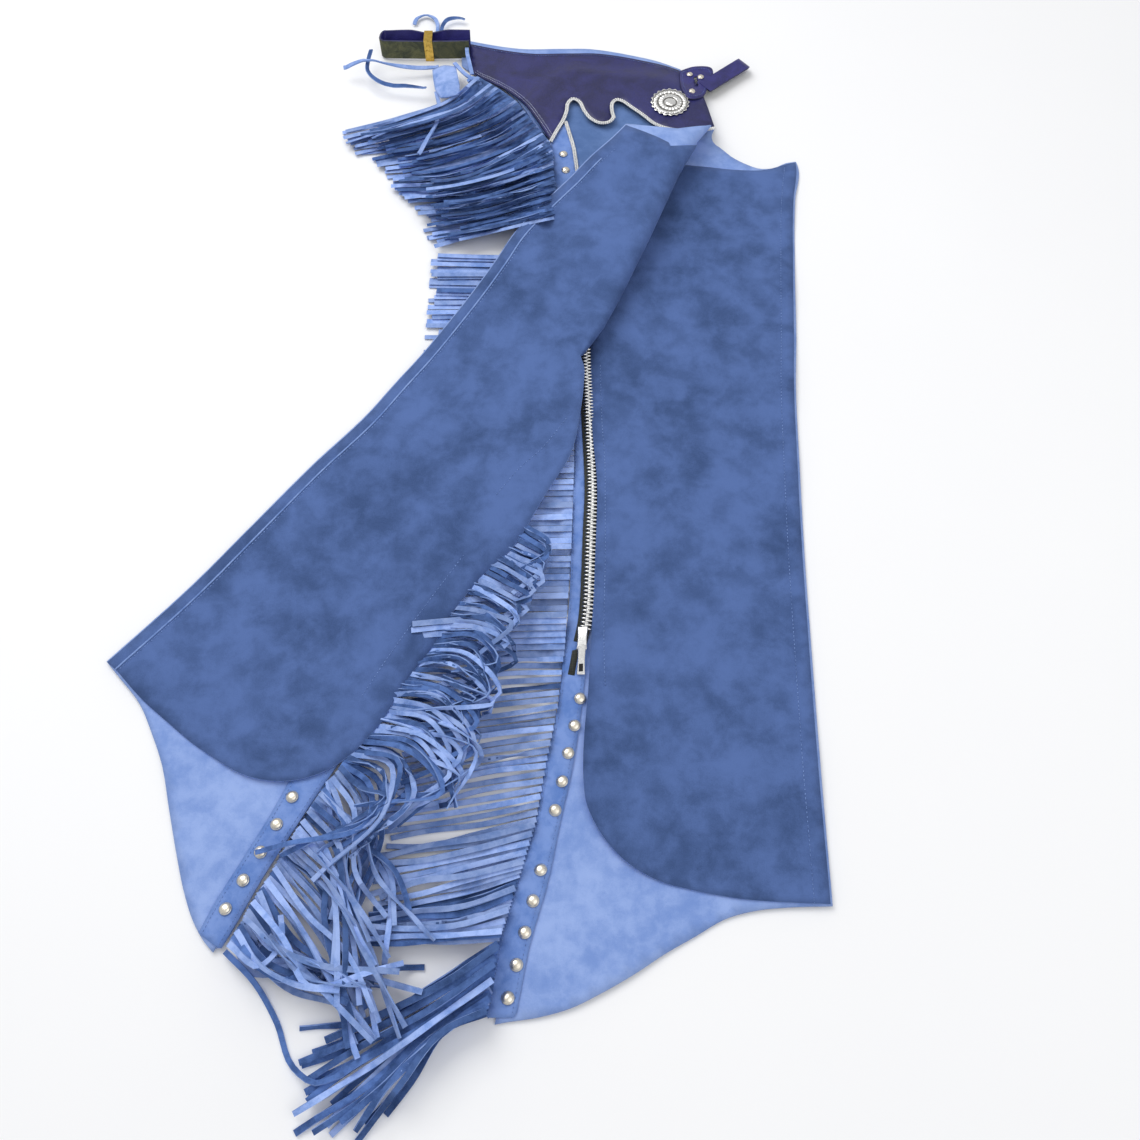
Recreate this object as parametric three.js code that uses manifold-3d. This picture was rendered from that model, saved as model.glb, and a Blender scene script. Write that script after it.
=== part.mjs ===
// Fringed chaps of split suede with a leather yoke, lying folded in half at the centre front.
// Millimetres, +Z up, X across the legs, Y from the hems to the yoke.
// Leg A lies underneath with its back panel up. Leg B lies on it, and its lower part is folded
// over to the left along a soft roll, so that its back panel shows too.
import * as THREE from "three";
import { mergeVertices } from "three/addons/utils/BufferGeometryUtils.js";
import Module from "manifold-3d";

const wasm = await Module();
wasm.setup();

// Driving sizes
const LEG_WIDTH = 236; // across one leg as it lies, at the knee
const LEG_LENGTH = 1112; // from the lowest point of the front hem to the top of the yoke
const SUEDE = 1.4;
const YOKE_LEATHER = 1.8;
const STRIP_LEATHER = 1.2;
const TAPE_THICKNESS = 0.8;
const CLEARANCE = 0.3; // between two pieces that touch
const PANEL_GAP = 0.8; // between the front and back panels of one leg
const PANEL_SLOPE = 0.16; // steepest fall of a panel over the edge of what lies under it
const FRINGE_SLOPE = 0.35;
const CELL = 50; // spacing of the points where heights are worked out

// Fringe
const STRAND_LENGTH = 160;
const LOCK_PITCH = 26; // one lock stands for four or five strands
const LOCK_WIDTH = 19;
const HEAD_OVERHANG = 11; // of the fringe's head past the panel's edge
const HEAD_SEAT = 16; // of the fringe's head on the panel
const HIP_SEAT = HEAD_SEAT / 2;
const HEAD_JOINT = 0.8; // between two lengths of fringe
const HIP_FROM = 0.45; // share of the upper edge where the hip fringe starts
const HIP_PUFF = 20; // rise of the hip fringe where it curls over
const LEG_PUFF = 13; // rise of the lower fringe of leg B

// Studs, concho and trim
const STUD_DIAMETER = 9.5;
const STUD_HEIGHT = 2.4;
const STUD_PITCH = 25.4;
const STUD_SIDES = 8;
// A row of studs: its distance from the edge that it follows, the shares of that edge where it starts
// and ends, the place of its first stud in pitches, and the studs that are lost
const STUD_ROW_A = { inset: 5.2, from: 0.01, to: 0.29, first: 0.4, lost: [6] };
const STUD_ROW_B = { inset: 10.5, from: 0.01, to: 0.21, first: 1, lost: [] };
const RIVET_DIAMETER = 7.5;
const CONCHO_DIAMETER = 45;
const CONCHO_HEIGHT = 6;
const CONCHO_SCALLOPS = 20;
const CONCHO_NOTCH = 0.95; // radius between two scallops, of the radius at their tips
const CONCHO_PLATE = 0.3; // of the concho's height
const TRIM_WIDTH = 4.6;
const TRIM_HEIGHT = 2.6;
const STRIP = { width: 24, from: 0.55, trimTo: 0.86 }; // from: share of the upper outer edge
const STRIP_STUDS = { inset: STRIP.width / 2, from: 0, to: 1, first: 0.4, lost: [] };

// Zip
const TOOTH_WIDTH = 8.5;
const TOOTH_HEIGHT = 2.4;
const TAPE_WIDTH = 17;
const ZIP_SIDE = 5; // from the middle of the teeth to the leather on each side
const SLIDER = { width: 10, neck: 8, length: 19, height: 6, aside: 1.5 };
const PULL = { width: 9, length: 25, thickness: 1.6, hole: 3.4, bar: 3, root: 9, aside: 2 };

// Straps and laces
const STRAP_THICKNESS = 2.2;
const BACK_STRAP = { width: 24, length: 106, bend: 7, drop: 28 }; // drop: from the yoke's corner to its near side
// seat: how far it lies on its tab; down: where it leaves the tab's side; back: where the return run starts
const FRONT_STRAP = { width: 19, length: 66, bend: 4.6, seat: 2, down: 0.6, back: 22, turn: 40 };
const KEEPER = { width: 10, wire: 1.6, room: 0.5, along: 0.46 };
const BEND_SIDES = 6;
const LACE_WIDTH = 4.4;
const LACE_SIDES = 8;
const LACE_STEP = 13;

// A short table with named columns
function table(columns, rows) {
  return rows.map((row) => Object.fromEntries(columns.map((name, i) => [name, row[i]])));
}

// Places are shares of the leg's width, from the middle line, and of its length, from the lowest hem.
const PLACE = ["across", "along"];
const place = ({ across, along }) => new THREE.Vector2(across * LEG_WIDTH, along * LEG_LENGTH);

const FRONT_HEM = table(PLACE, [
  [0.894, 0.082], [0.636, 0.076], [0.424, 0.06], [0.212, 0.036], [0, 0.013], [-0.246, 0.001],
]);
const OUTER_EDGE = table(PLACE, [
  [-0.246, 0.001], [-0.144, 0.088], [-0.072, 0.153], [-0.025, 0.199], [0.042, 0.277],
  [0.068, 0.421], [0.068, 0.493], [0.017, 0.637], [-0.059, 0.786], [-0.093, 0.853],
]);
const YOKE_SEAT = table(PLACE, [
  [-0.093, 0.853], [-0.2, 0.906], [-0.085, 0.951], [0.254, 0.951], [0.508, 0.942], [0.636, 0.915],
  [0.712, 0.872],
]);
const CROTCH = table(PLACE, [
  [0.712, 0.872], [0.699, 0.853], [0.784, 0.835], [0.911, 0.817], [1.008, 0.817], [1.089, 0.824],
]);
const INSEAM = table(PLACE, [
  [1.089, 0.824], [1.004, 0.637], [0.932, 0.457], [0.907, 0.277], [0.894, 0.082],
]);
const BACK_TOP = table(PLACE, [
  [1.076, 0.821], [0.953, 0.815], [0.847, 0.813], [0.742, 0.815], [0.551, 0.82], [0.1, 0.817],
]);
const BACK_TOP_AT_ZIP = -1; // the row of the cut top that ends at the zip
const BACK_HEM = table(PLACE, [
  [0.068, 0.259], [0.047, 0.205], [0.051, 0.174], [0.127, 0.126], [0.318, 0.098], [0.636, 0.087],
  [0.886, 0.084],
]);
const ZIP = table(PLACE, [
  [0.053, 0.299], [0.078, 0.367], [0.097, 0.439], [0.095, 0.457], [0.081, 0.502], [0.072, 0.601],
  [0.042, 0.812],
]);

// The folded part of leg B
const FOLD = table(PLACE, [[0.044, 0.577], [0.527, 0.87]]);
const ROLL = table(["fold", "reach", "rise"], [
  [-0.9, 12, 0], [0, 12, 10], [0.15, 16, 16], [0.4, 19, 23], [0.8, 20, 27], [1, 36, 26], [1.2, 36, 22],
]);
const ROLL_FADE = 170; // from the roll to where the folded leg lies flat
const FOLDED_INSEAM = table(PLACE, [
  [0.275, 0.876], [0.011, 0.803], [-0.254, 0.724], [-0.424, 0.657], [-0.742, 0.545],
  [-1.059, 0.457], [-1.746, 0.272],
]);
const FOLDED_BACK_INSEAM = table(PLACE, [
  [0.27, 0.875], [0.009, 0.802], [-0.256, 0.71], [-0.415, 0.637], [-0.742, 0.521],
  [-1.059, 0.441], [-1.703, 0.263],
]);
const FOLDED_FRONT_HEM = table(PLACE, [
  [-1.746, 0.272], [-1.589, 0.234], [-1.449, 0.165], [-1.343, 0.094], [-1.195, 0.048],
]);
const FOLDED_BACK_HEM = table(PLACE, [
  [-1.703, 0.263], [-1.483, 0.223], [-1.271, 0.191], [-1.11, 0.174], [-0.911, 0.177], [-0.784, 0.196],
]);
const FOLDED_OUTER_EDGE = table(PLACE, [
  [-1.195, 0.048], [-1.03, 0.118], [-0.784, 0.232], [-0.551, 0.313], [-0.36, 0.376], [-0.169, 0.443],
  [0.013, 0.515], [0.098, 0.567],
]);
const FOLDED_BACK_EDGE = table(PLACE, [
  [-0.784, 0.196], [-0.53, 0.281], [-0.318, 0.358], [-0.127, 0.414], [-0.021, 0.457],
  [0.042, 0.506], [0.1, 0.567],
]);
const FOLDED_CROTCH = table(PLACE, [[0.527, 0.87], [0.424, 0.872], [0.275, 0.876]]);
const FOLDED_BACK_TOP = table(PLACE, [[0.49, 0.848], [0.41, 0.861], [0.27, 0.875]]);
const BACK_FOLD_END = 0.9; // of the fold, where the back panel's top edge crosses it

// Yoke
const YOKE_TOP = table(PLACE, [
  [-0.508, 1.001], [-0.358, 0.996], [-0.228, 0.987], [0.034, 0.986], [0.246, 0.983],
  [0.458, 0.97], [0.593, 0.956],
]);
const YOKE_FRONT = table(PLACE, [[0.593, 0.956], [0.665, 0.922], [0.716, 0.873]]);
const YOKE_SCALLOPS = table(PLACE, [
  [0.716, 0.873], [0.602, 0.868], [0.521, 0.869], [0.441, 0.879], [0.36, 0.894], [0.275, 0.911],
  [0.233, 0.914],
  [0.208, 0.906], [0.205, 0.886], [0.163, 0.88], [0.115, 0.883], [0.075, 0.901], [0.04, 0.916],
  [0.01, 0.91],
  [-0.017, 0.886], [-0.093, 0.853],
]);
const YOKE_BACK = table(PLACE, [
  [-0.093, 0.853], [-0.147, 0.879], [-0.212, 0.906], [-0.292, 0.931], [-0.373, 0.944], [-0.5, 0.958],
]);
const UNDER_YOKE = { across: -10, along: 8 }; // how far the yoke of leg A shows past that of leg B
const CONCHO_PLACE = { across: 0.499, along: 0.911 };
const FRONT_TAB = table(PLACE, [[0.585, 0.96], [0.691, 0.953], [0.678, 0.922], [0.589, 0.921]]);
const RIVET_PLACES = table(PLACE, [[0.606, 0.953], [0.661, 0.949], [0.612, 0.927]]);

// A fringe: share along its edge, then the bend and tip of a strand from its root, in strand lengths
const STRAND = ["edge", "bendAcross", "bendAlong", "tipAcross", "tipAlong"];
const FRINGE_A = table(STRAND, [
  [0, -0.38, -0.2, -0.68, -0.5], [0.065, -0.5, -0.2, -0.88, -0.44], [0.08, -0.5, -0.06, -0.97, -0.2],
  [0.22, -0.5, -0.03, -1, -0.12], [0.5, -0.5, 0, -1, -0.05], [0.85, -0.5, 0, -0.97, 0],
]);
const FRINGE_A_JOINTS = [0, 0.066, 0.162, 0.222, 0.54, 0.85];
const FRINGE_HIP = table(STRAND, [
  [0, -0.4, 0.02, -0.88, 0], [0.25, -0.45, 0, -0.93, -0.25], [0.5, -0.4, -0.02, -0.98, -0.48],
  [0.75, -0.5, -0.06, -1, -0.58], [1, -0.45, -0.12, -0.93, -0.56],
]);
const FRINGE_B = table(STRAND, [
  [0, 0.3, -0.1, 0.5, -0.42], [0.12, 0.38, -0.08, 0.62, -0.52], [0.3, 0.45, -0.05, 0.45, -0.72],
  [0.45, 0.52, 0.03, 0.46, -0.62], [0.6, 0.46, 0.03, 0.28, -0.68], [0.8, 0.3, 0, 0.16, -0.66],
]);
const FRINGE_B_JOINTS = [0, 0.2, 0.74];

// Small turned pieces, from the axis at the bottom to the axis at the top
const STUD_PROFILE = table(["radius", "height"], [[0, 0], [1, 0], [1, 0.3], [0.7, 0.85], [0, 1]]);
const CONCHO_PROFILE = table(["radius", "height"], [
  [0, 0], [0.82, 0], [0.8, 0.35], [0.5, 0.55], [0.42, 0.45], [0.3, 0.9], [0, 1],
]);

// Laces, by hand: millimetres from the yoke's back corner, and how far they are lifted over another
const LACES = {
  lace_bow: [[-41, -13.5, 0], [-41, 14, 0], [-42, 28, 0], [-48, 42, 0], [-58, 48, 0], [-68, 42, 0], [-71, 32, 0]],
  lace_dark: [[-36, -13.5, 0], [-36, 10, 0], [-35, 26, 0], [-30, 36, 0], [-20, 39, 0], [-9, 37, 0]],
  lace_long: [
    [-116, -36, 0], [-118, -54, 0], [-117, -72, 0], [-108, -83, 0], [-92, -89, 0], [-70, -92, 0], [-48, -94, 0],
  ],
  lace_left: [[-36, -52, 0], [-60, -56, 0], [-92, -58, 2], [-117, -60, 6], [-134, -61, 2], [-147, -62, 0]],
  lace_hang: [[-36, -100, 0], [-32, -120, 0], [-31, -145, 0], [-34, -168, 2], [-42, -188, 2], [-50, -203, 0]],
};

// Materials, with the colours of the real ones
const finish = (color, roughness, metalness = 0) => new THREE.MeshStandardMaterial({ color, roughness, metalness });
const FINISH = {
  suede: finish(0x4a68a0, 0.95),
  pale: finish(0x86a2de, 0.95),
  yoke: finish(0x38356f, 0.5),
  strap: finish(0x2b2678, 0.45),
  trim: finish(0xf3f1ec, 0.8),
  silver: finish(0xd8d4c8, 0.3, 1),
  brass: finish(0xc2a36b, 0.35, 1),
  tape: finish(0x2c2f26, 0.9),
};

// Curves in plan
function smooth(rows, perSpan = 2) {
  return new THREE.SplineCurve(rows.map(place)).getPoints(perSpan * (rows.length - 1));
}

function lengths(points) {
  const sums = [0];
  points.slice(1).forEach((p, i) => sums.push(sums[i] + p.distanceTo(points[i])));
  return sums;
}

function pointAt(points, share) {
  const sums = lengths(points);
  const wanted = THREE.MathUtils.clamp(share, 0, 1) * sums.at(-1);
  const i = Math.max(1, sums.findIndex((s) => s >= wanted - 1e-9));
  return points[i - 1].clone().lerp(points[i], (wanted - sums[i - 1]) / (sums[i] - sums[i - 1]));
}

function stretch(points, from, to) {
  const sums = lengths(points);
  const inner = points.filter((_, i) => sums[i] > from * sums.at(-1) + 1 && sums[i] < to * sums.at(-1) - 1);
  return [pointAt(points, from), ...inner, pointAt(points, to)];
}

// The points moved to the left of the way they run.
function offset(points, distance) {
  return points.map((p, i) => {
    const way = points[Math.min(i + 1, points.length - 1)].clone().sub(points[Math.max(i - 1, 0)]).normalize();
    return new THREE.Vector2(p.x - way.y * distance, p.y + way.x * distance);
  });
}

function ribbon(points, left, right) {
  return [...offset(points, left), ...offset(points, -right).reverse()];
}

function rowAt(rows, key, value) {
  const i = Math.max(1, rows.findIndex((r) => r[key] >= value));
  const last = rows.at(-1);
  if (value >= last[key]) return last;
  const [a, b] = [rows[i - 1], rows[i]];
  const t = Math.max(0, (value - a[key]) / (b[key] - a[key]));
  return Object.fromEntries(Object.keys(a).map((k) => [k, THREE.MathUtils.lerp(a[k], b[k], t)]));
}

// Solids
const TALL = 200;
const SEAT_SPOTS = 12;

function solidOf(geometry) {
  const bare = geometry.index ? geometry.toNonIndexed() : geometry.clone();
  bare.deleteAttribute("normal");
  bare.deleteAttribute("uv");
  const merged = mergeVertices(bare, 1e-4);
  const build = (triVerts) =>
    new wasm.Manifold(new wasm.Mesh({ numProp: 3, vertProperties: merged.attributes.position.array, triVerts }));
  const made = build(new Uint32Array(merged.index.array));
  return made.volume() > 0 ? made : build(new Uint32Array(merged.index.array).reverse());
}

function join(solids) {
  return solids.reduce((sum, s) => sum.add(s));
}

function prism(outline, depth = TALL, bottom = -TALL / 4) {
  const geometry = new THREE.ExtrudeGeometry(new THREE.Shape(outline), { depth, bevelEnabled: false, steps: 1 });
  return solidOf(geometry.translate(0, 0, bottom));
}

const group = new THREE.Group();

function add(name, solid, material) {
  const { numProp, vertProperties, triVerts } = solid.getMesh();
  const positions = new Float32Array((vertProperties.length / numProp) * 3);
  for (let i = 0; i < positions.length / 3; i++) {
    positions.set(vertProperties.subarray(i * numProp, i * numProp + 3), i * 3);
  }
  const geometry = new THREE.BufferGeometry();
  geometry.setAttribute("position", new THREE.BufferAttribute(positions, 3));
  geometry.setIndex(new THREE.BufferAttribute(triVerts, 1));
  geometry.computeVertexNormals();
  const mesh = new THREE.Mesh(geometry, material);
  mesh.name = name;
  group.add(mesh);
}

// The bed: what lies already, as heights at the points of one grid. A layer laid on it clears every
// layer under it, because both are flat over the same triangles.
const BED = { left: -2.1 * LEG_WIDTH, right: 1.4 * LEG_WIDTH, low: -0.15 * LEG_LENGTH, high: 1.12 * LEG_LENGTH };
const COLUMNS = Math.ceil((BED.right - BED.left) / CELL) + 1;
const ROWS = Math.ceil((BED.high - BED.low) / CELL) + 1;
const REACH = CELL * Math.SQRT2;
const nodes = Array.from(
  { length: COLUMNS * ROWS },
  (_, k) => new THREE.Vector2(BED.left + (k % COLUMNS) * CELL, BED.low + Math.floor(k / COLUMNS) * CELL),
);
const bed = new Float64Array(nodes.length);

function edgeDistance(p, a, b) {
  const d = b.clone().sub(a);
  const t = THREE.MathUtils.clamp(p.clone().sub(a).dot(d) / Math.max(d.lengthSq(), 1e-9), 0, 1);
  return p.distanceTo(a.clone().addScaledVector(d, t));
}

function inside(p, outline) {
  let odd = false;
  outline.forEach((a, i) => {
    const b = outline[(i + 1) % outline.length];
    if (a.y > p.y !== b.y > p.y && p.x < a.x + ((p.y - a.y) * (b.x - a.x)) / (b.y - a.y)) odd = !odd;
  });
  return odd;
}

// The numbers of the grid's points that lie on the outlines or within one cell of them.
function near(outlines) {
  const box = new THREE.Box2().setFromPoints(outlines.flat()).expandByScalar(REACH);
  const touches = (p, o) => inside(p, o) || o.some((a, i) => edgeDistance(p, a, o[(i + 1) % o.length]) < REACH);
  const meets = (k) => box.containsPoint(nodes[k]) && outlines.some((o) => touches(nodes[k], o));
  return nodes.map((_, k) => k).filter(meets);
}

// Heights of the underside of a layer that is laid over the outlines now.
function settle(outlines, slope, loft = () => 0) {
  const under = near(outlines);
  const heights = nodes.map((p) =>
    under.reduce((z, k) => Math.max(z, bed[k] - slope * p.distanceTo(nodes[k])), 0));
  return heights.map((z, k) => z + loft(nodes[k]));
}

function cover(outlines, heights, thickness) {
  near(outlines).forEach((k) => {
    bed[k] = Math.max(bed[k], heights[k] + thickness + CLEARANCE);
  });
}

function heightAt(heights, p) {
  const [u, v] = [(p.x - BED.left) / CELL, (p.y - BED.low) / CELL];
  const [i, j] = [Math.floor(u), Math.floor(v)];
  const [fu, fv] = [u - i, v - j];
  const z = (di, dj) => heights[i + di + (j + dj) * COLUMNS];
  const side = fu >= fv ? z(1, 0) : z(0, 1);
  const [far, close] = [Math.min(fu, fv), Math.max(fu, fv)];
  return z(0, 0) + close * (side - z(0, 0)) + far * (z(1, 1) - side);
}

// A layer of even thickness over the whole grid under the outlines
function slab(outlines, heights, thickness) {
  const box = new THREE.Box2().setFromPoints(outlines.flat());
  const i0 = Math.floor((box.min.x - BED.left) / CELL);
  const i1 = Math.ceil((box.max.x - BED.left) / CELL);
  const j0 = Math.floor((box.min.y - BED.low) / CELL);
  const j1 = Math.ceil((box.max.y - BED.low) / CELL);
  const wide = i1 - i0 + 1;
  const count = wide * (j1 - j0 + 1);
  const positions = [];
  for (const lift of [0, thickness]) {
    for (let j = j0; j <= j1; j++) {
      for (let i = i0; i <= i1; i++) {
        const k = i + j * COLUMNS;
        positions.push(nodes[k].x, nodes[k].y, heights[k] + lift);
      }
    }
  }
  const faces = [];
  const at = (i, j) => i - i0 + (j - j0) * wide;
  const wall = (a, b) => faces.push(a, b, b + count, a, b + count, a + count);
  for (let j = j0; j < j1; j++) {
    for (let i = i0; i < i1; i++) {
      const [a, b, c, d] = [at(i, j), at(i + 1, j), at(i + 1, j + 1), at(i, j + 1)];
      faces.push(a, c, b, a, d, c);
      faces.push(a + count, b + count, c + count, a + count, c + count, d + count);
    }
  }
  for (let i = i0; i < i1; i++) {
    wall(at(i, j0), at(i + 1, j0));
    wall(at(i + 1, j1), at(i, j1));
  }
  for (let j = j0; j < j1; j++) {
    wall(at(i1, j), at(i1, j + 1));
    wall(at(i0, j + 1), at(i0, j));
  }
  const geometry = new THREE.BufferGeometry();
  geometry.setAttribute("position", new THREE.Float32BufferAttribute(positions, 3));
  geometry.setIndex(faces);
  return solidOf(geometry);
}

// A layer cut to its outlines, as a solid with the heights of its underside
function layer(outlines, thickness, { slope = PANEL_SLOPE, loft, heights = settle(outlines, slope, loft) } = {}) {
  const solid = slab(outlines, heights, thickness).intersect(join(outlines.map((o) => prism(o))));
  return { outlines, thickness, heights, solid };
}

function lay(name, outlines, thickness, material, options = {}) {
  const made = layer(outlines, thickness, options);
  cover(outlines, made.heights, thickness);
  add(name, made.solid, material);
  return made;
}

// Fringe: a head along an edge, and locks that leave its outer side
function strandAt(edge, rows, share, side) {
  const row = rowAt(rows, "edge", share);
  const root = pointAt(offset(edge, side * (HEAD_OVERHANG - LOCK_WIDTH / 2)), share);
  const from = (across, along) => root.clone().add(new THREE.Vector2(across, along).multiplyScalar(STRAND_LENGTH));
  const bend = from(row.bendAcross, row.bendAlong);
  const tip = from(row.tipAcross, row.tipAlong);
  const control = bend.multiplyScalar(2).sub(root.clone().add(tip).multiplyScalar(0.5));
  return new THREE.QuadraticBezierCurve(root, control, tip).getPoints(3);
}

function fringe(edge, rows, [from, to], side, seat) {
  const total = lengths(edge).at(-1);
  const piece = stretch(edge, from + HEAD_JOINT / total, to);
  const head = side > 0 ? ribbon(piece, HEAD_OVERHANG, seat) : ribbon(piece, seat, HEAD_OVERHANG);
  const count = Math.max(2, Math.floor(((to - from) * total) / LOCK_PITCH));
  const locks = Array.from({ length: count }, (_, i) => {
    const share = from + ((i + 0.5) / count) * (to - from);
    return ribbon(strandAt(edge, rows, share, side), LOCK_WIDTH / 2, LOCK_WIDTH / 2);
  });
  return [head, ...locks];
}

// Strands curl up between root and tip, where the panel that lies on them doesn't press them flat.
function puffOf(edge, height, press) {
  return (p) => {
    const off = Math.min(...edge.slice(1).map((b, i) => edgeDistance(p, edge[i], b)));
    const hump = Math.sin(Math.PI * THREE.MathUtils.clamp((off - REACH) / (STRAND_LENGTH - REACH), 0, 1));
    const free = inside(p, press) ? 0 : Math.min(...press.slice(1).map((b, i) => edgeDistance(p, press[i], b)));
    return height * hump * THREE.MathUtils.smoothstep(free, REACH, 2 * REACH);
  };
}

// Small metal pieces
function turned(profile, radius, height, sides) {
  const points = profile.map((row) => new THREE.Vector2(row.radius * radius, row.height * height));
  return solidOf(new THREE.LatheGeometry(points, sides).rotateX(Math.PI / 2));
}

const stud = (diameter) => turned(STUD_PROFILE, diameter / 2, STUD_HEIGHT, STUD_SIDES);

// The top of the highest layer at a place, of the given ones, or of all that lies there
function topAt(p, carriers) {
  if (!carriers) return heightAt(bed, p);
  const under = carriers.filter(({ outlines }) => outlines.some((o) => inside(p, o)));
  return Math.max(0, ...under.map(({ heights, thickness }) => heightAt(heights, p) + thickness + CLEARANCE));
}

// The height at which a round piece clears what carries it
function seatHeight(p, radius, carriers) {
  const round = Array.from({ length: SEAT_SPOTS }, (_, i) => (i * 2 * Math.PI) / SEAT_SPOTS);
  const spots = [p, ...round.map((a) => new THREE.Vector2(p.x + radius * Math.cos(a), p.y + radius * Math.sin(a)))];
  return Math.max(...spots.map((spot) => topAt(spot, carriers)));
}

function setOn(name, solid, p, radius, carriers, material = FINISH.silver) {
  add(name, solid.translate([p.x, p.y, seatHeight(p, radius, carriers)]), material);
}

function studRow(prefix, { inset, from, to, first, lost }, edge, side, carriers) {
  const line = offset(stretch(edge, from, to), side * inset);
  const total = lengths(line).at(-1);
  const count = Math.floor(total / STUD_PITCH - first) + 1;
  for (let i = 1; i <= count; i++) {
    const p = pointAt(line, ((i - 1 + first) * STUD_PITCH) / total);
    if (!lost.includes(i)) setOn(`${prefix}_${i}`, stud(STUD_DIAMETER), p, STUD_DIAMETER / 2, carriers);
  }
}

// The roll of leg B: a bent wall along the fold, whose flaps lie inside the layers that it joins
const FOLD_LINE = FOLD.map(place);
const FOLD_WAY = FOLD_LINE[1].clone().sub(FOLD_LINE[0]).normalize();
const FOLD_OUT = new THREE.Vector2(FOLD_WAY.y, -FOLD_WAY.x);
const FOLD_LENGTH = FOLD_LINE[0].distanceTo(FOLD_LINE[1]);
const ROLL_SIDES = 8;
const FLAP = { length: 2, inset: 0.12 };

// Shares of the fold at which its line crosses the bed's grid, so that the roll meets the layers exactly
function foldCrossings(end) {
  const measures = [
    (p) => (p.x - BED.left) / CELL, (p) => (p.y - BED.low) / CELL, (p) => (p.x - BED.left - p.y + BED.low) / CELL,
  ];
  const finish = FOLD_LINE[0].clone().addScaledVector(FOLD_WAY, end * FOLD_LENGTH);
  const shares = measures.flatMap((measure) => {
    const [a, b] = [measure(FOLD_LINE[0]), measure(finish)];
    const whole = Array.from({ length: Math.ceil(Math.abs(b - a)) + 1 }, (_, i) => Math.ceil(Math.min(a, b)) + i);
    return whole.map((n) => (end * (n - a)) / (b - a));
  });
  const apart = 2 / FOLD_LENGTH;
  const inner = shares.filter((t) => t > apart && t < end - apart).sort((a, b) => a - b);
  return [0, ...inner.filter((t, i) => i === 0 || t - inner[i - 1] > apart), end];
}

function foldLoft(p) {
  const from = p.clone().sub(FOLD_LINE[0]);
  const { rise } = rowAt(ROLL, "fold", Math.max(ROLL[0].fold, from.dot(FOLD_WAY) / FOLD_LENGTH));
  return rise * THREE.MathUtils.smoothstep(from.dot(FOLD_OUT), -ROLL_FADE, 0);
}

function rollSection(share, low, high, thickness, extraReach) {
  const base = FOLD_LINE[0].clone().addScaledVector(FOLD_WAY, share * FOLD_LENGTH);
  const spot = (s) => base.clone().addScaledVector(FOLD_OUT, s);
  const [bottom, top] = [heightAt(low, base), heightAt(high, base) + thickness];
  const reach = rowAt(ROLL, "fold", share).reach + extraReach;
  const [middle, half] = [(bottom + top) / 2, (top - bottom) / 2];
  const arc = (inset) =>
    Array.from({ length: ROLL_SIDES + 1 }, (_, i) => {
      const angle = -Math.PI / 2 + (i * Math.PI) / ROLL_SIDES;
      return [(reach - inset) * Math.cos(angle), middle + (half - inset) * Math.sin(angle)];
    });
  const flap = spot(-FLAP.length);
  const [lowEnd, highEnd] = [heightAt(low, flap), heightAt(high, flap)];
  const flapEnds = (inset) => [
    [-FLAP.length, lowEnd + inset],
    [-FLAP.length, highEnd + thickness - inset],
  ];
  const wall = (inset) => [flapEnds(inset)[0], ...arc(inset), flapEnds(inset)[1]];
  const [outer, inner] = [wall(FLAP.inset), wall(thickness - FLAP.inset)];
  return [...outer, ...inner.reverse()].map(([s, z]) => [spot(s).x, spot(s).y, z]);
}

function roll(low, high, thickness, extraReach, end) {
  const sections = foldCrossings(end).map((share) => rollSection(share, low, high, thickness, extraReach));
  const size = sections[0].length;
  const steps = sections.length - 1;
  const faces = [];
  const quad = (a, b, c, d) => faces.push(a, b, c, a, c, d);
  for (let i = 0; i < steps; i++) {
    for (let k = 0; k < size; k++) {
      const next = (k + 1) % size;
      quad(i * size + k, i * size + next, (i + 1) * size + next, (i + 1) * size + k);
    }
  }
  for (let k = 0; k < size / 2 - 1; k++) {
    const last = steps * size;
    quad(k, size - 1 - k, size - 2 - k, k + 1);
    quad(last + k, last + k + 1, last + size - 2 - k, last + size - 1 - k);
  }
  const geometry = new THREE.BufferGeometry();
  geometry.setAttribute("position", new THREE.Float32BufferAttribute(sections.flat(2), 3));
  geometry.setIndex(faces);
  return solidOf(geometry);
}

// Leg A, from the floor up
const outerEdge = smooth(OUTER_EDGE);
const zip = smooth(ZIP, 3);
const yokeOutline = [YOKE_TOP, YOKE_FRONT, YOKE_SCALLOPS, YOKE_BACK].flatMap((rows) => smooth(rows, 1));
const frontOutline = [
  ...smooth(FRONT_HEM, 2), ...outerEdge.slice(1), ...smooth(YOKE_SEAT, 1).slice(1),
  ...smooth(CROTCH, 2).slice(1), ...smooth(INSEAM, 1).slice(1, -1),
];
const zipSide = offset(zip, -ZIP_SIDE).reverse();
const backOutline = [
  ...smooth(BACK_TOP, 1), ...zipSide, ...smooth(BACK_HEM, 2),
  ...smooth(INSEAM, 1).slice(1, -1).reverse().map((p) => new THREE.Vector2(p.x - SUEDE, p.y)),
];

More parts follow.
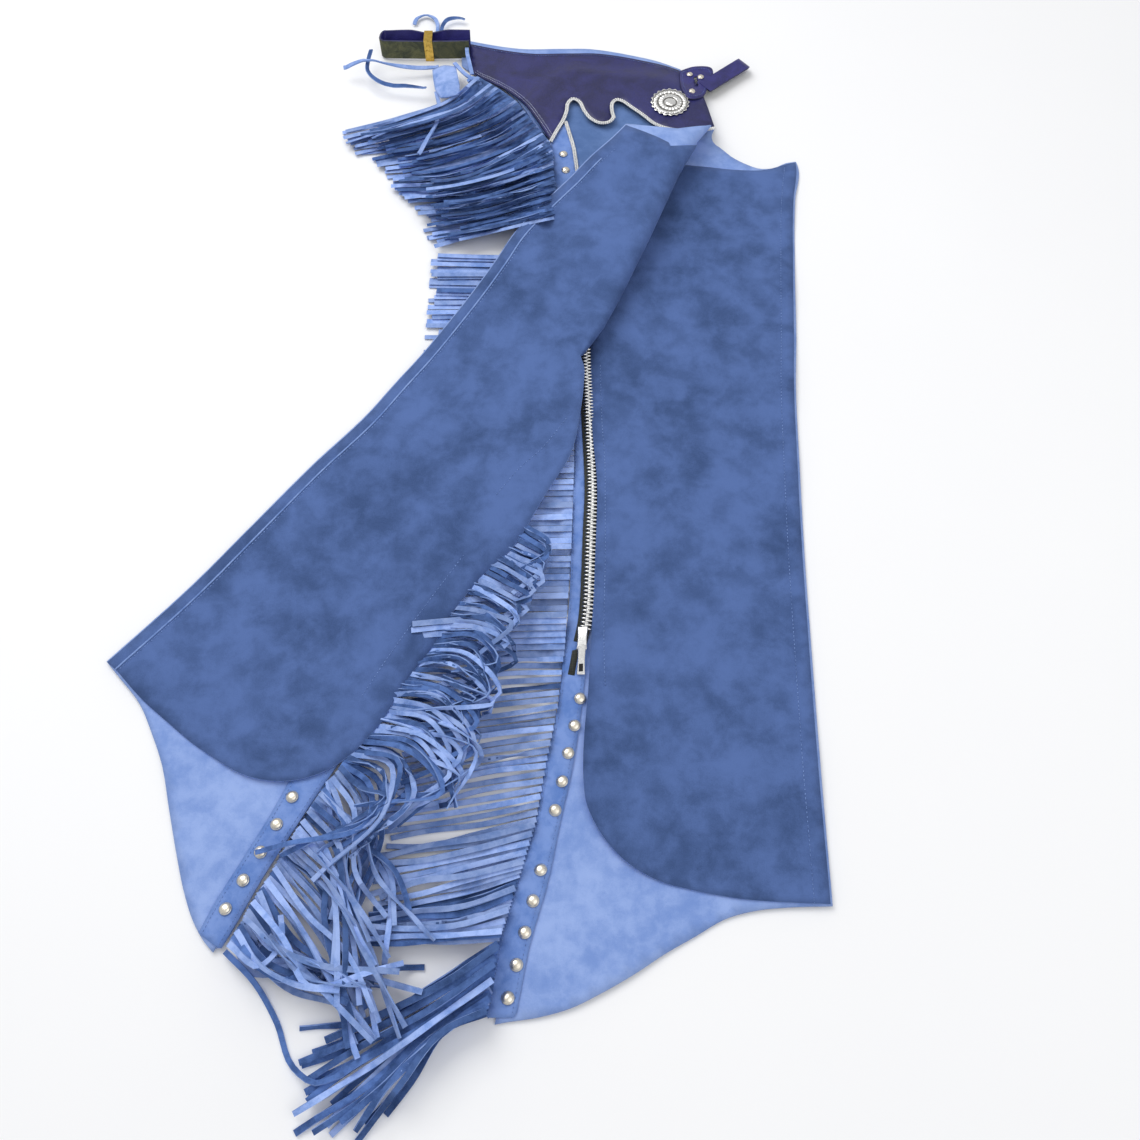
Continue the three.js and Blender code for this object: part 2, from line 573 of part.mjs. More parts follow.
function legA() {
  const shifted = yokeOutline.map((p) => new THREE.Vector2(p.x + UNDER_YOKE.across, p.y + UNDER_YOKE.along));
  const under = lay("yoke_a", [shifted], YOKE_LEATHER, FINISH.pale);
  const front = lay("leg_a_front_panel", [frontOutline], SUEDE, FINISH.pale);
  const tape = lay("zip_tape", [ribbon(zip, TAPE_WIDTH / 2, TAPE_WIDTH / 2)], TAPE_THICKNESS, FINISH.tape);
  const besideZip = prism(ribbon(zip, ZIP_SIDE, HEAD_SEAT + HEAD_OVERHANG + TAPE_WIDTH));
  const fringes = FRINGE_A_JOINTS.slice(1).map((to, i) => {
    const shape = fringe(outerEdge, FRINGE_A, [FRINGE_A_JOINTS[i], to], 1, HEAD_SEAT);
    const made = layer(shape, SUEDE, { slope: FRINGE_SLOPE });
    cover(shape, made.heights, SUEDE);
    add(`leg_a_fringe_${i + 1}`, made.solid.subtract(besideZip), FINISH.pale);
    return made;
  });
  studRow("leg_a_stud", STUD_ROW_A, outerEdge, -1, [front, ...fringes]);
  lay("leg_a_back_panel", [backOutline], SUEDE, FINISH.suede);
  const teeth = [ribbon(zip, TOOTH_WIDTH / 2, TOOTH_WIDTH / 2)];
  const onTape = tape.heights.map((z) => z + TAPE_THICKNESS + CLEARANCE);
  lay("zip_teeth", teeth, TOOTH_HEIGHT, FINISH.silver, { heights: onTape });
  zipEnd([front, tape, fringes.at(-2), fringes.at(-1)]);
  return under;
}

// The slider stands at the lower end of the teeth, and its pull lies flat on the fringe's head.
function zipEnd(carriers) {
  const stop = zip[0];
  const corner = (x, y) => new THREE.Vector2(x, y);
  const body = prism([
    corner(-SLIDER.width / 2, -SLIDER.length), corner(SLIDER.width / 2, -SLIDER.length),
    corner(SLIDER.neck / 2, -CLEARANCE), corner(-SLIDER.neck / 2, -CLEARANCE),
  ], SLIDER.height, 0);
  setOn("zip_slider", body, new THREE.Vector2(stop.x - SLIDER.aside, stop.y), SLIDER.length, carriers);
  const outline = new THREE.Shape([
    corner(-PULL.width / 2, -PULL.length), corner(PULL.width / 2, -PULL.length),
    corner(PULL.width / 2, 0), corner(-PULL.width / 2, 0),
  ]);
  outline.holes.push(new THREE.Path([
    corner(-PULL.hole / 2, PULL.bar - PULL.length), corner(-PULL.hole / 2, -PULL.root),
    corner(PULL.hole / 2, -PULL.root), corner(PULL.hole / 2, PULL.bar - PULL.length),
  ]));
  const tab = solidOf(new THREE.ExtrudeGeometry(outline, { depth: PULL.thickness, bevelEnabled: false }));
  const below = new THREE.Vector2(stop.x - PULL.aside, stop.y - SLIDER.length - CLEARANCE);
  setOn("zip_pull", tab, below, PULL.length, carriers);
}

// Leg B: its upper part lies on leg A, and the rest is folded over to the left
const onFold = (share) => FOLD_LINE[0].clone().addScaledVector(FOLD_WAY, share * FOLD_LENGTH);
const upperEdge = outerEdge.filter((p) => p.y > FOLD_LINE[0].y + CELL / 2);

function legB() {
  const upperFront = [
    ...smooth(FOLDED_INSEAM), ...smooth(FOLDED_FRONT_HEM).slice(1), ...smooth(FOLDED_OUTER_EDGE).slice(1),
    onFold(0), onFold(1), ...smooth(FOLDED_CROTCH, 1).slice(1, -1),
  ];
  const upperBack = [
    ...smooth(FOLDED_BACK_INSEAM), ...smooth(FOLDED_BACK_HEM).slice(1), ...smooth(FOLDED_BACK_EDGE).slice(1),
    onFold(0), onFold(BACK_FOLD_END), ...smooth(FOLDED_BACK_TOP, 1).slice(1, -1),
  ];
  const lowerBack = [
    onFold(0), ...upperEdge.filter((p) => p.y < place(BACK_TOP[0]).y), place(BACK_TOP.at(BACK_TOP_AT_ZIP)),
    ...smooth(BACK_TOP, 1).reverse().filter((p) => p.x < onFold(BACK_FOLD_END).x), onFold(BACK_FOLD_END),
  ];
  const lowerFront = [onFold(0), ...upperEdge, ...smooth(YOKE_SEAT, 1).slice(1), onFold(1)];

  const backLow = layer([lowerBack], SUEDE);
  cover([lowerBack], backLow.heights, SUEDE + PANEL_GAP - CLEARANCE);

  const hipEdge = [...stretch(upperEdge, HIP_FROM, 1), ...smooth(YOKE_BACK, 1).slice(1)];
  const hip = fringe(hipEdge, FRINGE_HIP, [0, 1], 1, HIP_SEAT);
  const hipFlat = settle(hip, FRINGE_SLOPE);
  const hipPuff = puffOf(hipEdge, HIP_PUFF, upperFront);
  const hipHeights = hipFlat.map((z, k) => z + hipPuff(nodes[k]));
  add("hip_fringe", layer(hip, SUEDE, { heights: hipHeights }).solid, FINISH.suede);
  cover(hip, hipFlat, SUEDE);

  const frontLow = layer([lowerFront], SUEDE);
  cover([lowerFront], frontLow.heights, SUEDE);
  yoke();
  cover(hip, hipHeights, SUEDE);

  const frontHigh = layer([upperFront], SUEDE, { loft: foldLoft });
  cover([upperFront], frontHigh.heights, SUEDE);
  const frontRoll = roll(frontLow.heights, frontHigh.heights, SUEDE, 0, 1);
  add("leg_b_front_panel", join([frontLow.solid, frontRoll, frontHigh.solid]), FINISH.pale);

  const foldedEdge = smooth(FOLDED_OUTER_EDGE);
  const legPuff = puffOf(foldedEdge, LEG_PUFF, upperBack);
  const fringes = FRINGE_B_JOINTS.slice(1).map((to, i) => {
    const locks = fringe(foldedEdge, FRINGE_B, [FRINGE_B_JOINTS[i], to], -1, HEAD_SEAT);
    return lay(`leg_b_fringe_${i + 1}`, locks, SUEDE, FINISH.pale, { slope: FRINGE_SLOPE, loft: legPuff });
  });
  studRow("leg_b_stud", STUD_ROW_B, foldedEdge, 1, [frontHigh, ...fringes]);

  const backHigh = layer([upperBack], SUEDE);
  const backRoll = roll(backLow.heights, backHigh.heights, SUEDE, SUEDE + PANEL_GAP, BACK_FOLD_END);
  add("leg_b_back_panel", join([backLow.solid, backRoll, backHigh.solid]), FINISH.suede);
}

// The yoke and what it carries, on the unfolded top of leg B
function yoke() {
  const stripLine = stretch(upperEdge, STRIP.from, 1);
  const strip = lay("side_strip", [ribbon(stripLine, 0, STRIP.width)], STRIP_LEATHER, FINISH.suede);
  studRow("side_strip_stud", STRIP_STUDS, stripLine, -1, [strip]);
  const top = lay("yoke_b", [yokeOutline], YOKE_LEATHER, FINISH.yoke);
  concho([top]);
  frontStrap();
  const trimLine = offset(smooth(YOKE_SCALLOPS, 1), -TRIM_WIDTH / 4);
  lay("yoke_trim", [ribbon(trimLine, TRIM_WIDTH / 2, TRIM_WIDTH / 2)], TRIM_HEIGHT, FINISH.trim);
  const stripTrim = offset(stretch(stripLine, 0, STRIP.trimTo), -STRIP.width - TRIM_WIDTH / 2 - CLEARANCE);
  lay("side_strip_trim", [ribbon(stripTrim, TRIM_WIDTH / 2, TRIM_WIDTH / 2)], TRIM_HEIGHT, FINISH.trim);
}

// Concho: a scalloped plate with a raised middle
function concho(carriers) {
  const r = CONCHO_DIAMETER / 2;
  const steps = CONCHO_SCALLOPS * 2;
  const rim = Array.from({ length: steps }, (_, i) => {
    const angle = (i * 2 * Math.PI) / steps;
    return new THREE.Vector2(Math.cos(angle), Math.sin(angle)).multiplyScalar(i % 2 === 0 ? r * CONCHO_NOTCH : r);
  });
  const plate = prism(rim, CONCHO_PLATE * CONCHO_HEIGHT, 0);
  const dome = turned(CONCHO_PROFILE, r, CONCHO_HEIGHT, 2 * STUD_SIDES);
  setOn("concho", plate.add(dome), place(CONCHO_PLACE), r, carriers);
}

// A strap bent back on itself, as its side profile drawn out to its width
function hairpin({ width, length, bend, back = 0 }) {
  const thickness = STRAP_THICKNESS;
  const outer = new THREE.Shape();
  outer.moveTo(back, 0);
  outer.lineTo(length - bend, 0);
  outer.absarc(length - bend, bend, bend, -Math.PI / 2, Math.PI / 2, false);
  outer.lineTo(0, 2 * bend);
  outer.lineTo(0, 2 * bend - thickness);
  outer.lineTo(length - bend, 2 * bend - thickness);
  outer.absarc(length - bend, bend, bend - thickness, Math.PI / 2, -Math.PI / 2, true);
  outer.lineTo(back, thickness);
  return new THREE.ExtrudeGeometry(outer, { depth: width, bevelEnabled: false, curveSegments: BEND_SIDES });
}

// The front strap is riveted to the yoke on a tab and folded back under itself.
function frontStrap() {
  const corners = FRONT_TAB.map(place);
  const tab = lay("front_tab", [corners], YOKE_LEATHER, FINISH.yoke);
  RIVET_PLACES.forEach((row, i) => {
    setOn(`front_rivet_${i + 1}`, stud(RIVET_DIAMETER), place(row), RIVET_DIAMETER / 2, [tab]);
  });
  const { width, bend, seat, down, turn } = FRONT_STRAP;
  const start = corners[1].clone().lerp(corners[2], down);
  const strap = solidOf(hairpin(FRONT_STRAP).rotateX(Math.PI / 2));
  const lift = seatHeight(start, seat + width / 2) - 2 * bend + STRAP_THICKNESS;
  const turned = strap.translate([-seat, width / 2, 0]).rotate([0, 0, turn]);
  add("front_strap", turned.translate([start.x, start.y, lift]), FINISH.strap);
}

// The back strap stands on its edge, bent into a loop that a brass keeper holds.
const yokeCorner = place(YOKE_TOP[0]);
const YOKE_SIDE = [YOKE_BACK.at(-1), YOKE_TOP[0]];

const crossing = ([a, b], y) => THREE.MathUtils.mapLinear(y, a.y, b.y, a.x, b.x);

function backStrap(under) {
  const { width, length, bend, drop } = BACK_STRAP;
  const near = yokeCorner.y - drop;
  const side = offset(YOKE_SIDE.map(place), CLEARANCE);
  const right = Math.min(...[0, 2 * bend].map((rise) => crossing(side, near + rise)));
  const foot = topAt(new THREE.Vector2(right, near + bend), [under]);
  const loop = solidOf(hairpin(BACK_STRAP).rotateY(Math.PI));
  add("back_strap", loop.translate([right, near, width + foot]), FINISH.strap);
  const frame = (grow) => new THREE.Vector2(2 * (bend + grow), width + 2 * grow);
  const block = (size, across) => solidOf(new THREE.BoxGeometry(across, size.x, size.y));
  const { room, wire, along } = KEEPER;
  const ring = block(frame(room + wire), KEEPER.width).subtract(block(frame(room), 2 * KEEPER.width));
  add("strap_keeper", ring.translate([right - along * length, near + bend, foot + width / 2]), FINISH.brass);
}

function laces() {
  const circle = new THREE.Shape(Array.from({ length: LACE_SIDES }, (_, i) => {
    const angle = (i * 2 * Math.PI) / LACE_SIDES;
    return new THREE.Vector2(Math.cos(angle), Math.sin(angle)).multiplyScalar(LACE_WIDTH / 2);
  }));
  for (const [name, rows] of Object.entries(LACES)) {
    const route = rows.map(([x, y, lift]) => {
      const p = new THREE.Vector2(yokeCorner.x + x, yokeCorner.y + y);
      return new THREE.Vector3(p.x, p.y, seatHeight(p, LACE_WIDTH) + LACE_WIDTH / 2 + lift);
    });
    const path = new THREE.CatmullRomCurve3(route);
    const steps = Math.ceil(path.getLength() / LACE_STEP);
    const tube = new THREE.ExtrudeGeometry(circle, { steps, extrudePath: path, bevelEnabled: false });
    add(name, solidOf(tube), FINISH.suede);
  }
}

const underYoke = legA();
legB();
backStrap(underYoke);

// The origin is the middle of the underside, without the loose laces.
const part = new THREE.Group();
part.add(group);
const box = new THREE.Box3().setFromObject(group);
group.position.set(-(box.min.x + box.max.x) / 2, -(box.min.y + box.max.y) / 2, -box.min.z);
laces();

export default part;
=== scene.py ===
"""The looks of the fringed chaps: suede, leather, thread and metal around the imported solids.

Places in the tables are millimetres on the floor, x to the right of the camera's foot and y away from it.
"""

import logging
import math
from dataclasses import dataclass, field
from enum import Enum
from typing import Sequence

import bmesh
import bpy
import numpy as np
from bpy.types import Material, Node, NodeSocket, NodeTree, Object
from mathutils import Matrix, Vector
from mathutils.bvhtree import BVHTree
from mathutils.geometry import delaunay_2d_cdt


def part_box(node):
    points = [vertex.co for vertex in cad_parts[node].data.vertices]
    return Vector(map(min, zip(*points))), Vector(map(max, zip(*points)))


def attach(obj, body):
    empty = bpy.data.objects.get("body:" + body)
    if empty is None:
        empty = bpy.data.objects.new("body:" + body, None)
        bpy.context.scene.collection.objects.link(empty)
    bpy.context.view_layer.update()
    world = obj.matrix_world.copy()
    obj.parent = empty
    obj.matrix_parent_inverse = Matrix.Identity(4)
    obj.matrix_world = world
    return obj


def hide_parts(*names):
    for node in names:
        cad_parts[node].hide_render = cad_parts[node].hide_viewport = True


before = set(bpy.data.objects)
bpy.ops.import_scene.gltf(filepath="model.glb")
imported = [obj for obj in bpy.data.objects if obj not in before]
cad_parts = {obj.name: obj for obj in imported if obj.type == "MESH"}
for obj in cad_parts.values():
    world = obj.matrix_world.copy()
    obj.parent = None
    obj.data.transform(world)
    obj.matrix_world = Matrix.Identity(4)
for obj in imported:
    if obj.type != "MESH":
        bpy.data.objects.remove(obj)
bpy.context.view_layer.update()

MM = 0.001
SEED = 413
Array = np.ndarray
Points = Sequence[Sequence[float]]

logging.basicConfig(level=logging.INFO, format="%(message)s")
log = logging.getLogger("chaps")


# Outlines, measured on the floor
CONCHO_PLACE = (117.76, 1105.03)

# height of the photograph's eye above the ground, in millimetres: the outlines below were measured as if
# they lay on the ground
EYE_HEIGHT = 940.0
A_HEM = [(211.5, 181), (175, 180), (150, 177.5), (125, 171), (100, 157.5), (75, 144), (50, 128.5), (25, 115),
         (0, 103.5), (-25, 97), (-50, 93.5), (-58, 92)]
A_EDGE = [
    (-58, 93), (-34, 190), (-17, 262), (-6, 313), (10, 400), (16, 500), (16, 560), (16, 640), (4, 800),
    (-14, 966), (-22, 1040)]
A_YOKE_SEAT = [(-22, 1040), (-47, 1100), (-20, 1149), (60, 1149), (120, 1139), (150, 1109), (168, 1062)]
A_CROTCH = [
    (168, 1062), (163.5, 1050), (165, 1038), (173, 1029), (185, 1015), (200, 1004), (215, 997), (231, 998),
    (246, 1006), (257, 1008)]
A_INSEAM = [
    (257, 1008), (258.5, 1000), (251, 950), (241.5, 850), (234, 750), (229, 700), (223.5, 600), (219, 500),
    (216, 400), (213.5, 300), (211.5, 181)]
A_BACK_TOP = [
    (256.5, 1007), (246, 1004.5), (238, 1001), (219, 995), (200, 994.5), (181, 996), (161, 999),
    (142, 1001.5), (100, 1005), (40, 1003), (23.6, 1000)]
A_BACK_SIDE = [
    (23.6, 1000), (24, 850), (21, 700), (22.5, 635), (26, 585), (23.5, 500), (20.5, 440), (18, 400),
    (16, 365)]
A_BACK_HEM = [
    (16, 365), (13.5, 340), (11.5, 310), (11.5, 285), (13.5, 267), (20, 250), (35, 227.5), (50, 213.5),
    (75, 200), (100, 193.5), (140, 186.5), (175, 184), (210, 182.5)]
A_BACK_INSEAM = [
    (210, 182.5), (211.5, 300), (214, 400), (217, 500), (221.5, 600), (227, 700), (231.5, 750), (239.5, 850),
    (249, 950), (256.5, 1000), (256.5, 1007)]
ZIP_LINE = [
    (11, 412), (15, 432), (16.8, 450), (18.5, 485), (20, 525), (22, 575), (21.5, 600), (19.5, 650),
    (17.5, 700), (13, 850), (10, 995)]
FOLD = [(10.4, 733.6), (124.4, 1059.4)]
ROLL_TIP = (168, 1062)
B_INSEAM = [
    (65, 1067), (50, 1047), (25, 1017), (0, 982), (-25, 950), (-62, 897), (-77, 866), (-100, 822),
    (-130, 770), (-150, 737), (-177, 697), (-200, 662), (-250, 600), (-300, 533), (-350, 466), (-412, 393)]
B_FRONT_HEM = [
    (-412, 393), (-400, 380), (-375, 352), (-360, 325), (-348, 300), (-335, 260), (-322, 220), (-312, 192),
    (-300, 167), (-290, 153), (-282, 145)]
B_EDGE = [
    (-282, 145), (-243, 223), (-210, 290), (-185, 350), (-130, 440), (-85, 510), (-40, 585), (1, 662),
    (12, 700), (13.5, 720), (10.4, 733.6)]
B_BACK_HEM = [
    (-402, 385), (-375, 358), (-350, 337.5), (-325, 318), (-300, 302), (-282, 292), (-265, 286.5),
    (-235, 285), (-205, 295), (-185, 310)]
B_BACK_EDGE = [
    (-185, 310), (-165, 335), (-145, 375), (-125, 405), (-105, 445), (-85, 475), (-50, 515), (-35, 545),
    (-20, 575), (0, 612), (10, 662), (14, 700), (14.5, 720), (10.4, 733.6)]
B_BACK_TOP = [(115.6, 1034.5), (106, 1044), (90, 1054), (65, 1067)]
B_BACK_FOLD_END = 0.92  # of the fold, where the back panel's cut top crosses it
B_LOW_EDGE = [(10.4, 733.6), (4, 800), (-14, 966), (-22, 1040)]
B_LOW_TOP = [(-22, 1040), (-47, 1100), (-20, 1149), (60, 1149), (120, 1139), (150, 1109), (168, 1062)]
YOKE_TOP = [
    (-122, 1206), (-90, 1197), (-50, 1189), (0, 1189), (35, 1188.5), (50, 1186), (85, 1177), (115, 1167),
    (142, 1153)]
YOKE_FRONT = [(142, 1153), (155, 1125), (159, 1108), (168, 1062)]
YOKE_SCALLOPS = [
    [(168, 1062), (155, 1058.5), (142, 1057), (133, 1057), (118, 1060), (100, 1068), (85, 1084), (71, 1098),
     (60, 1108), (55, 1109.5), (50.5, 1105), (49, 1092), (51, 1080)],
    [(51, 1080), (47, 1073), (37, 1070), (25, 1077), (17, 1090), (10, 1107), (4, 1111), (-2, 1104),
     (-4, 1090),
     (-8, 1075), (-14, 1061), (-22, 1041)],
]
YOKE_BACK = [(-22, 1041), (-38, 1075), (-54, 1103), (-73, 1124), (-96, 1141), (-114, 1153), (-120, 1160)]
YOKE_END = [(-120, 1160), (-121, 1180), (-122, 1206)]
UNDER_YOKE_SHIFT = (-10, 8)
STRIP_RIGHT = [(-5, 1072), (0, 1050), (4, 1031), (6.5, 1010), (8.5, 990), (10, 965)]
STRIP_LEFT = [(10, 950), (-15, 952), (-18, 985), (-20, 1010), (-22, 1040)]


class Finish(Enum):
    """The finishes of the chaps, by the name of their material."""

    NAP_OUT = "brushed_suede_outside"
    NAP_MID = "brushed_suede_front"
    FLESH = "flesh_side_suede"
    RAW_EDGE = "cut_suede_edge"
    STRAND_NAP = "strand_suede_outside"
    STRAND_FLESH = "strand_suede_flesh"
    BAND = "band_suede_flesh"
    YOKE = "waxed_cowhide_yoke"
    STRAP = "drum_dyed_cowhide_strap"
    STRAP_FLESH = "undyed_flesh_of_strap"
    CUT_COWHIDE = "burnished_cowhide_edge"
    THREAD_BLUE = "bonded_nylon_thread_blue"
    THREAD_PALE = "bonded_nylon_thread_pale"
    BRAID = "plaited_white_braid"
    TAPE = "woven_zip_tape"
    ZIP = "bright_nickel_zip"
    STUD = "brushed_nickel_stud"
    CONCHO = "cast_white_metal"
    PATINA = "blackened_cast_recess"
    BRASS = "polished_brass"
    HOLE = "shadowed_hole"
    FLOOR = "matt_studio_floor"


def linear(colour: str) -> tuple[float, float, float, float]:
    """Turns an sRGB hex colour linear.

    Args:
        colour: The colour as "#RRGGBB".

    Returns:
        The linear red, green and blue, and an alpha of 1.
    """
    parts = [int(colour[i:i + 2], 16) / 255 for i in (1, 3, 5)]
    red, green, blue = (c / 12.92 if c <= 0.04045 else ((c + 0.055) / 1.055) ** 2.4 for c in parts)
    return (red, green, blue, 1.0)


def wire(tree: NodeTree, node: Node, inputs: dict) -> None:
    """Sets a node's inputs.

    Args:
        tree: The node's tree.
        node: The node.
        inputs: By socket name or number, a value or an output socket to link.
    """
    for key, value in inputs.items():
        if isinstance(value, NodeSocket):
            tree.links.new(value, node.inputs[key])
        else:
            node.inputs[key].default_value = value


def add(tree: NodeTree, kind: str, inputs: dict | None = None, **settings: object) -> Node:
    """Adds a node with its settings, values and links.

    Args:
        tree: The node tree to add to.
        kind: The node's type.
        inputs: As in wire.
        **settings: Attributes of the node.

    Returns:
        The new node.
    """
    node = tree.nodes.new(kind)
    for key, value in settings.items():
        setattr(node, key, value)
    wire(tree, node, inputs or {})
    return node


def per_mm(size: float) -> float:
    """The scale of a texture whose cell is this many millimetres on Object coordinates."""
    return 1 / (size * MM)


def ramp(tree: NodeTree, factor: NodeSocket, low: float, high: float) -> NodeSocket:
    """A smooth step of a factor from 0 at low to 1 at high."""
    made = add(tree, "ShaderNodeMapRange", {"Value": factor, "From Min": low, "From Max": high},
               interpolation_type="SMOOTHSTEP")
    return made.outputs["Result"]


def blend(tree: NodeTree, factor: object, a: object, b: object, kind: str = "MIX") -> NodeSocket:
    """A mix of two colours, each a socket or a linear colour."""
    made = add(tree, "ShaderNodeMix", {0: factor, 6: a, 7: b}, data_type="RGBA", blend_type=kind)
    return made.outputs[2]


def noise(tree: NodeTree, where: NodeSocket, size: float, detail: float = 4,
          rough: float = 0.55, warp: float = 0.0) -> NodeSocket:
    """A noise whose cells are about size millimetres."""
    made = add(tree, "ShaderNodeTexNoise", {"Vector": where, "Scale": per_mm(size), "Detail": detail,
                                            "Roughness": rough, "Distortion": warp})
    return made.outputs["Fac"]


def start(finish: Finish) -> tuple[Material, NodeTree, Node, NodeSocket]:
    """Starts a material.

    Args:
        finish: Names it.

    Returns:
        The material, its tree, its shader linked to the output, and its Object coordinates.
    """
    material = bpy.data.materials.new(finish.value)
    material.use_nodes = True
    tree = material.node_tree
    tree.nodes.clear()
    shader = add(tree, "ShaderNodeBsdfPrincipled")
    add(tree, "ShaderNodeOutputMaterial", {"Surface": shader.outputs[0]})
    where = add(tree, "ShaderNodeTexCoord").outputs["Object"]
    return material, tree, shader, where


@dataclass(frozen=True)
class Suede:
    """Split suede: a short brushed fibre that scatters light, cloudy where hands brushed it two ways."""

    finish: Finish
    dark: str
    light: str
    specks: str
    cloud: float = 85.0  # mm across a brushed cloud
    streak: float = 26.0  # mm across the finer mottling
    fibre: float = 0.9  # mm: the real fibre is 0.2 mm, drawn coarser so that it shows
    speck_share: float = 0.74  # noise above this is a light speck
    sheen: float = 0.25
    bump: float = 0.35
    tone: float = 0.0  # how far the piece's own tone attribute shades it

    def material(self) -> Material:
        """Builds the material."""
        material, tree, shader, where = start(self.finish)
        cloud = ramp(tree, noise(tree, where, self.cloud, 4, 0.5, 0.15), 0.25, 0.75)
        streak = ramp(tree, noise(tree, where, self.streak, 6, 0.6, 0.2), 0.28, 0.72)
        fibre = noise(tree, where, self.fibre, 3, 0.6)
        mottle = add(tree, "ShaderNodeMath", {0: cloud, 1: streak}, operation="ADD").outputs[0]
        mottle = add(tree, "ShaderNodeMath", {0: mottle, 1: fibre}, operation="ADD").outputs[0]
        colour = blend(tree, ramp(tree, mottle, 0.2, 2.4), linear(self.dark), linear(self.light))
        specks = ramp(tree, noise(tree, where, 5.0, 6, 0.8), self.speck_share, self.speck_share + 0.05)
        colour = blend(tree, specks, colour, linear(self.specks))
        if self.tone > 0:
            shade = add(tree, "ShaderNodeAttribute", attribute_name="tone").outputs["Fac"]
            factor = add(tree, "ShaderNodeMapRange",
                         {"Value": shade, "To Min": 1 - self.tone, "To Max": 1 + self.tone})
            grey = add(tree, "ShaderNodeCombineColor", {i: factor.outputs[0] for i in range(3)})
            colour = blend(tree, 1.0, colour, grey.outputs[0], "MULTIPLY")
        relief = add(tree, "ShaderNodeBump", {"Height": mottle, "Strength": self.bump, "Distance": 0.6 * MM})
        wire(tree, shader, {"Base Color": colour, "Normal": relief.outputs[0], "Roughness": 0.92,
                            "Specular IOR Level": 0.15, "Sheen Weight": self.sheen, "Sheen Roughness": 0.55,
                            "Sheen Tint": linear(self.specks)})
        return material


@dataclass(frozen=True)
class Cowhide:
    """Finished cowhide: a pebbled grain under a thin wax that shines softly, with painted shade in its
    creases.
    """

    finish: Finish
    dark: str
    light: str
    cloud: float = 30.0  # mm
    pebble: float = 1.6  # mm across one grain of the hide
    roughness: float = 0.42
    coat: float = 0.15
    bump: float = 0.3

    def material(self) -> Material:
        """Builds the material."""
        material, tree, shader, where = start(self.finish)
        cloud = noise(tree, where, self.cloud, 5, 0.65, 0.8)
        cells = add(tree, "ShaderNodeTexVoronoi", {"Vector": where, "Scale": per_mm(self.pebble)},
                    feature="DISTANCE_TO_EDGE").outputs["Distance"]
        grain = ramp(tree, cells, 0.0, 0.22)
        fine = noise(tree, where, 0.8, 3)
        colour = blend(tree, ramp(tree, cloud, 0.3, 0.7), linear(self.dark), linear(self.light))
        # painted shade: the grain's creases are darkened towards the hide's dark colour
        crease = add(tree, "ShaderNodeMapRange", {"Value": grain, "To Min": 0.35, "To Max": 0.0}).outputs[0]
        colour = blend(tree, crease, colour, linear(self.dark), "MULTIPLY")
        height = add(tree, "ShaderNodeMath", {0: grain, 1: fine}, operation="ADD").outputs[0]
        relief = add(tree, "ShaderNodeBump", {"Height": height, "Strength": self.bump, "Distance": 0.3 * MM})
        gloss = add(tree, "ShaderNodeMapRange", {"Value": cloud, "From Min": 0.3, "From Max": 0.7,
                                                 "To Min": self.roughness - 0.08,
                                                 "To Max": self.roughness + 0.1})
        wire(tree, shader, {"Base Color": colour, "Roughness": gloss.outputs[0], "Normal": relief.outputs[0],
                            "Coat Weight": self.coat, "Coat Roughness": 0.3})
        return material


@dataclass(frozen=True)
class Metal:
    """Plated or cast metal: bright, with a fine brushed or cast grain and dull handling marks."""

    finish: Finish
    colour: str
    dull: str
    roughness: float = 0.28
    grain: float = 0.5  # mm
    bump: float = 0.08

    def material(self) -> Material:
        """Builds the material."""
        material, tree, shader, where = start(self.finish)
        marks = ramp(tree, noise(tree, where, 4.0, 5, 0.7), 0.45, 0.75)
        grain = noise(tree, where, self.grain, 3)
        colour = blend(tree, marks, linear(self.colour), linear(self.dull))
        gloss = add(tree, "ShaderNodeMapRange", {"Value": marks, "To Min": self.roughness - 0.06,
                                                 "To Max": self.roughness + 0.16})
        relief = add(tree, "ShaderNodeBump", {"Height": grain, "Strength": self.bump, "Distance": 0.1 * MM})
        wire(tree, shader, {"Base Color": colour, "Roughness": gloss.outputs[0], "Normal": relief.outputs[0],
                            "Metallic": 1.0})
        return material


@dataclass(frozen=True)
class Textile:
    """Thread, braid and tape: crossing yarns that break the light into fine bars."""

    finish: Finish
    dark: str
    light: str
    yarn: float = 0.9  # mm between yarns
    sheen: float = 0.2

    def material(self) -> Material:
        """Builds the material."""
        material, tree, shader, where = start(self.finish)
        bars = [add(tree, "ShaderNodeTexWave", {"Vector": where, "Scale": per_mm(self.yarn) / math.tau,
                                                "Distortion": 0.6}, bands_direction=way).outputs["Fac"]
                for way in ("X", "Y")]
        weave = add(tree, "ShaderNodeMath", {0: bars[0], 1: bars[1]}, operation="MULTIPLY").outputs[0]
        fluff = noise(tree, where, 2.5, 4)
        factor = add(tree, "ShaderNodeMath", {0: weave, 1: fluff}, operation="ADD").outputs[0]
        # painted shade: darker between the crossing yarn bars, with the fluff noise as a random tone
        colour = blend(tree, ramp(tree, factor, 0.25, 1.1), linear(self.dark), linear(self.light))
        relief = add(tree, "ShaderNodeBump", {"Height": weave, "Strength": 0.4, "Distance": 0.3 * MM})
        wire(tree, shader, {"Base Color": colour, "Normal": relief.outputs[0], "Roughness": 0.8,
                            "Sheen Weight": self.sheen})
        return material


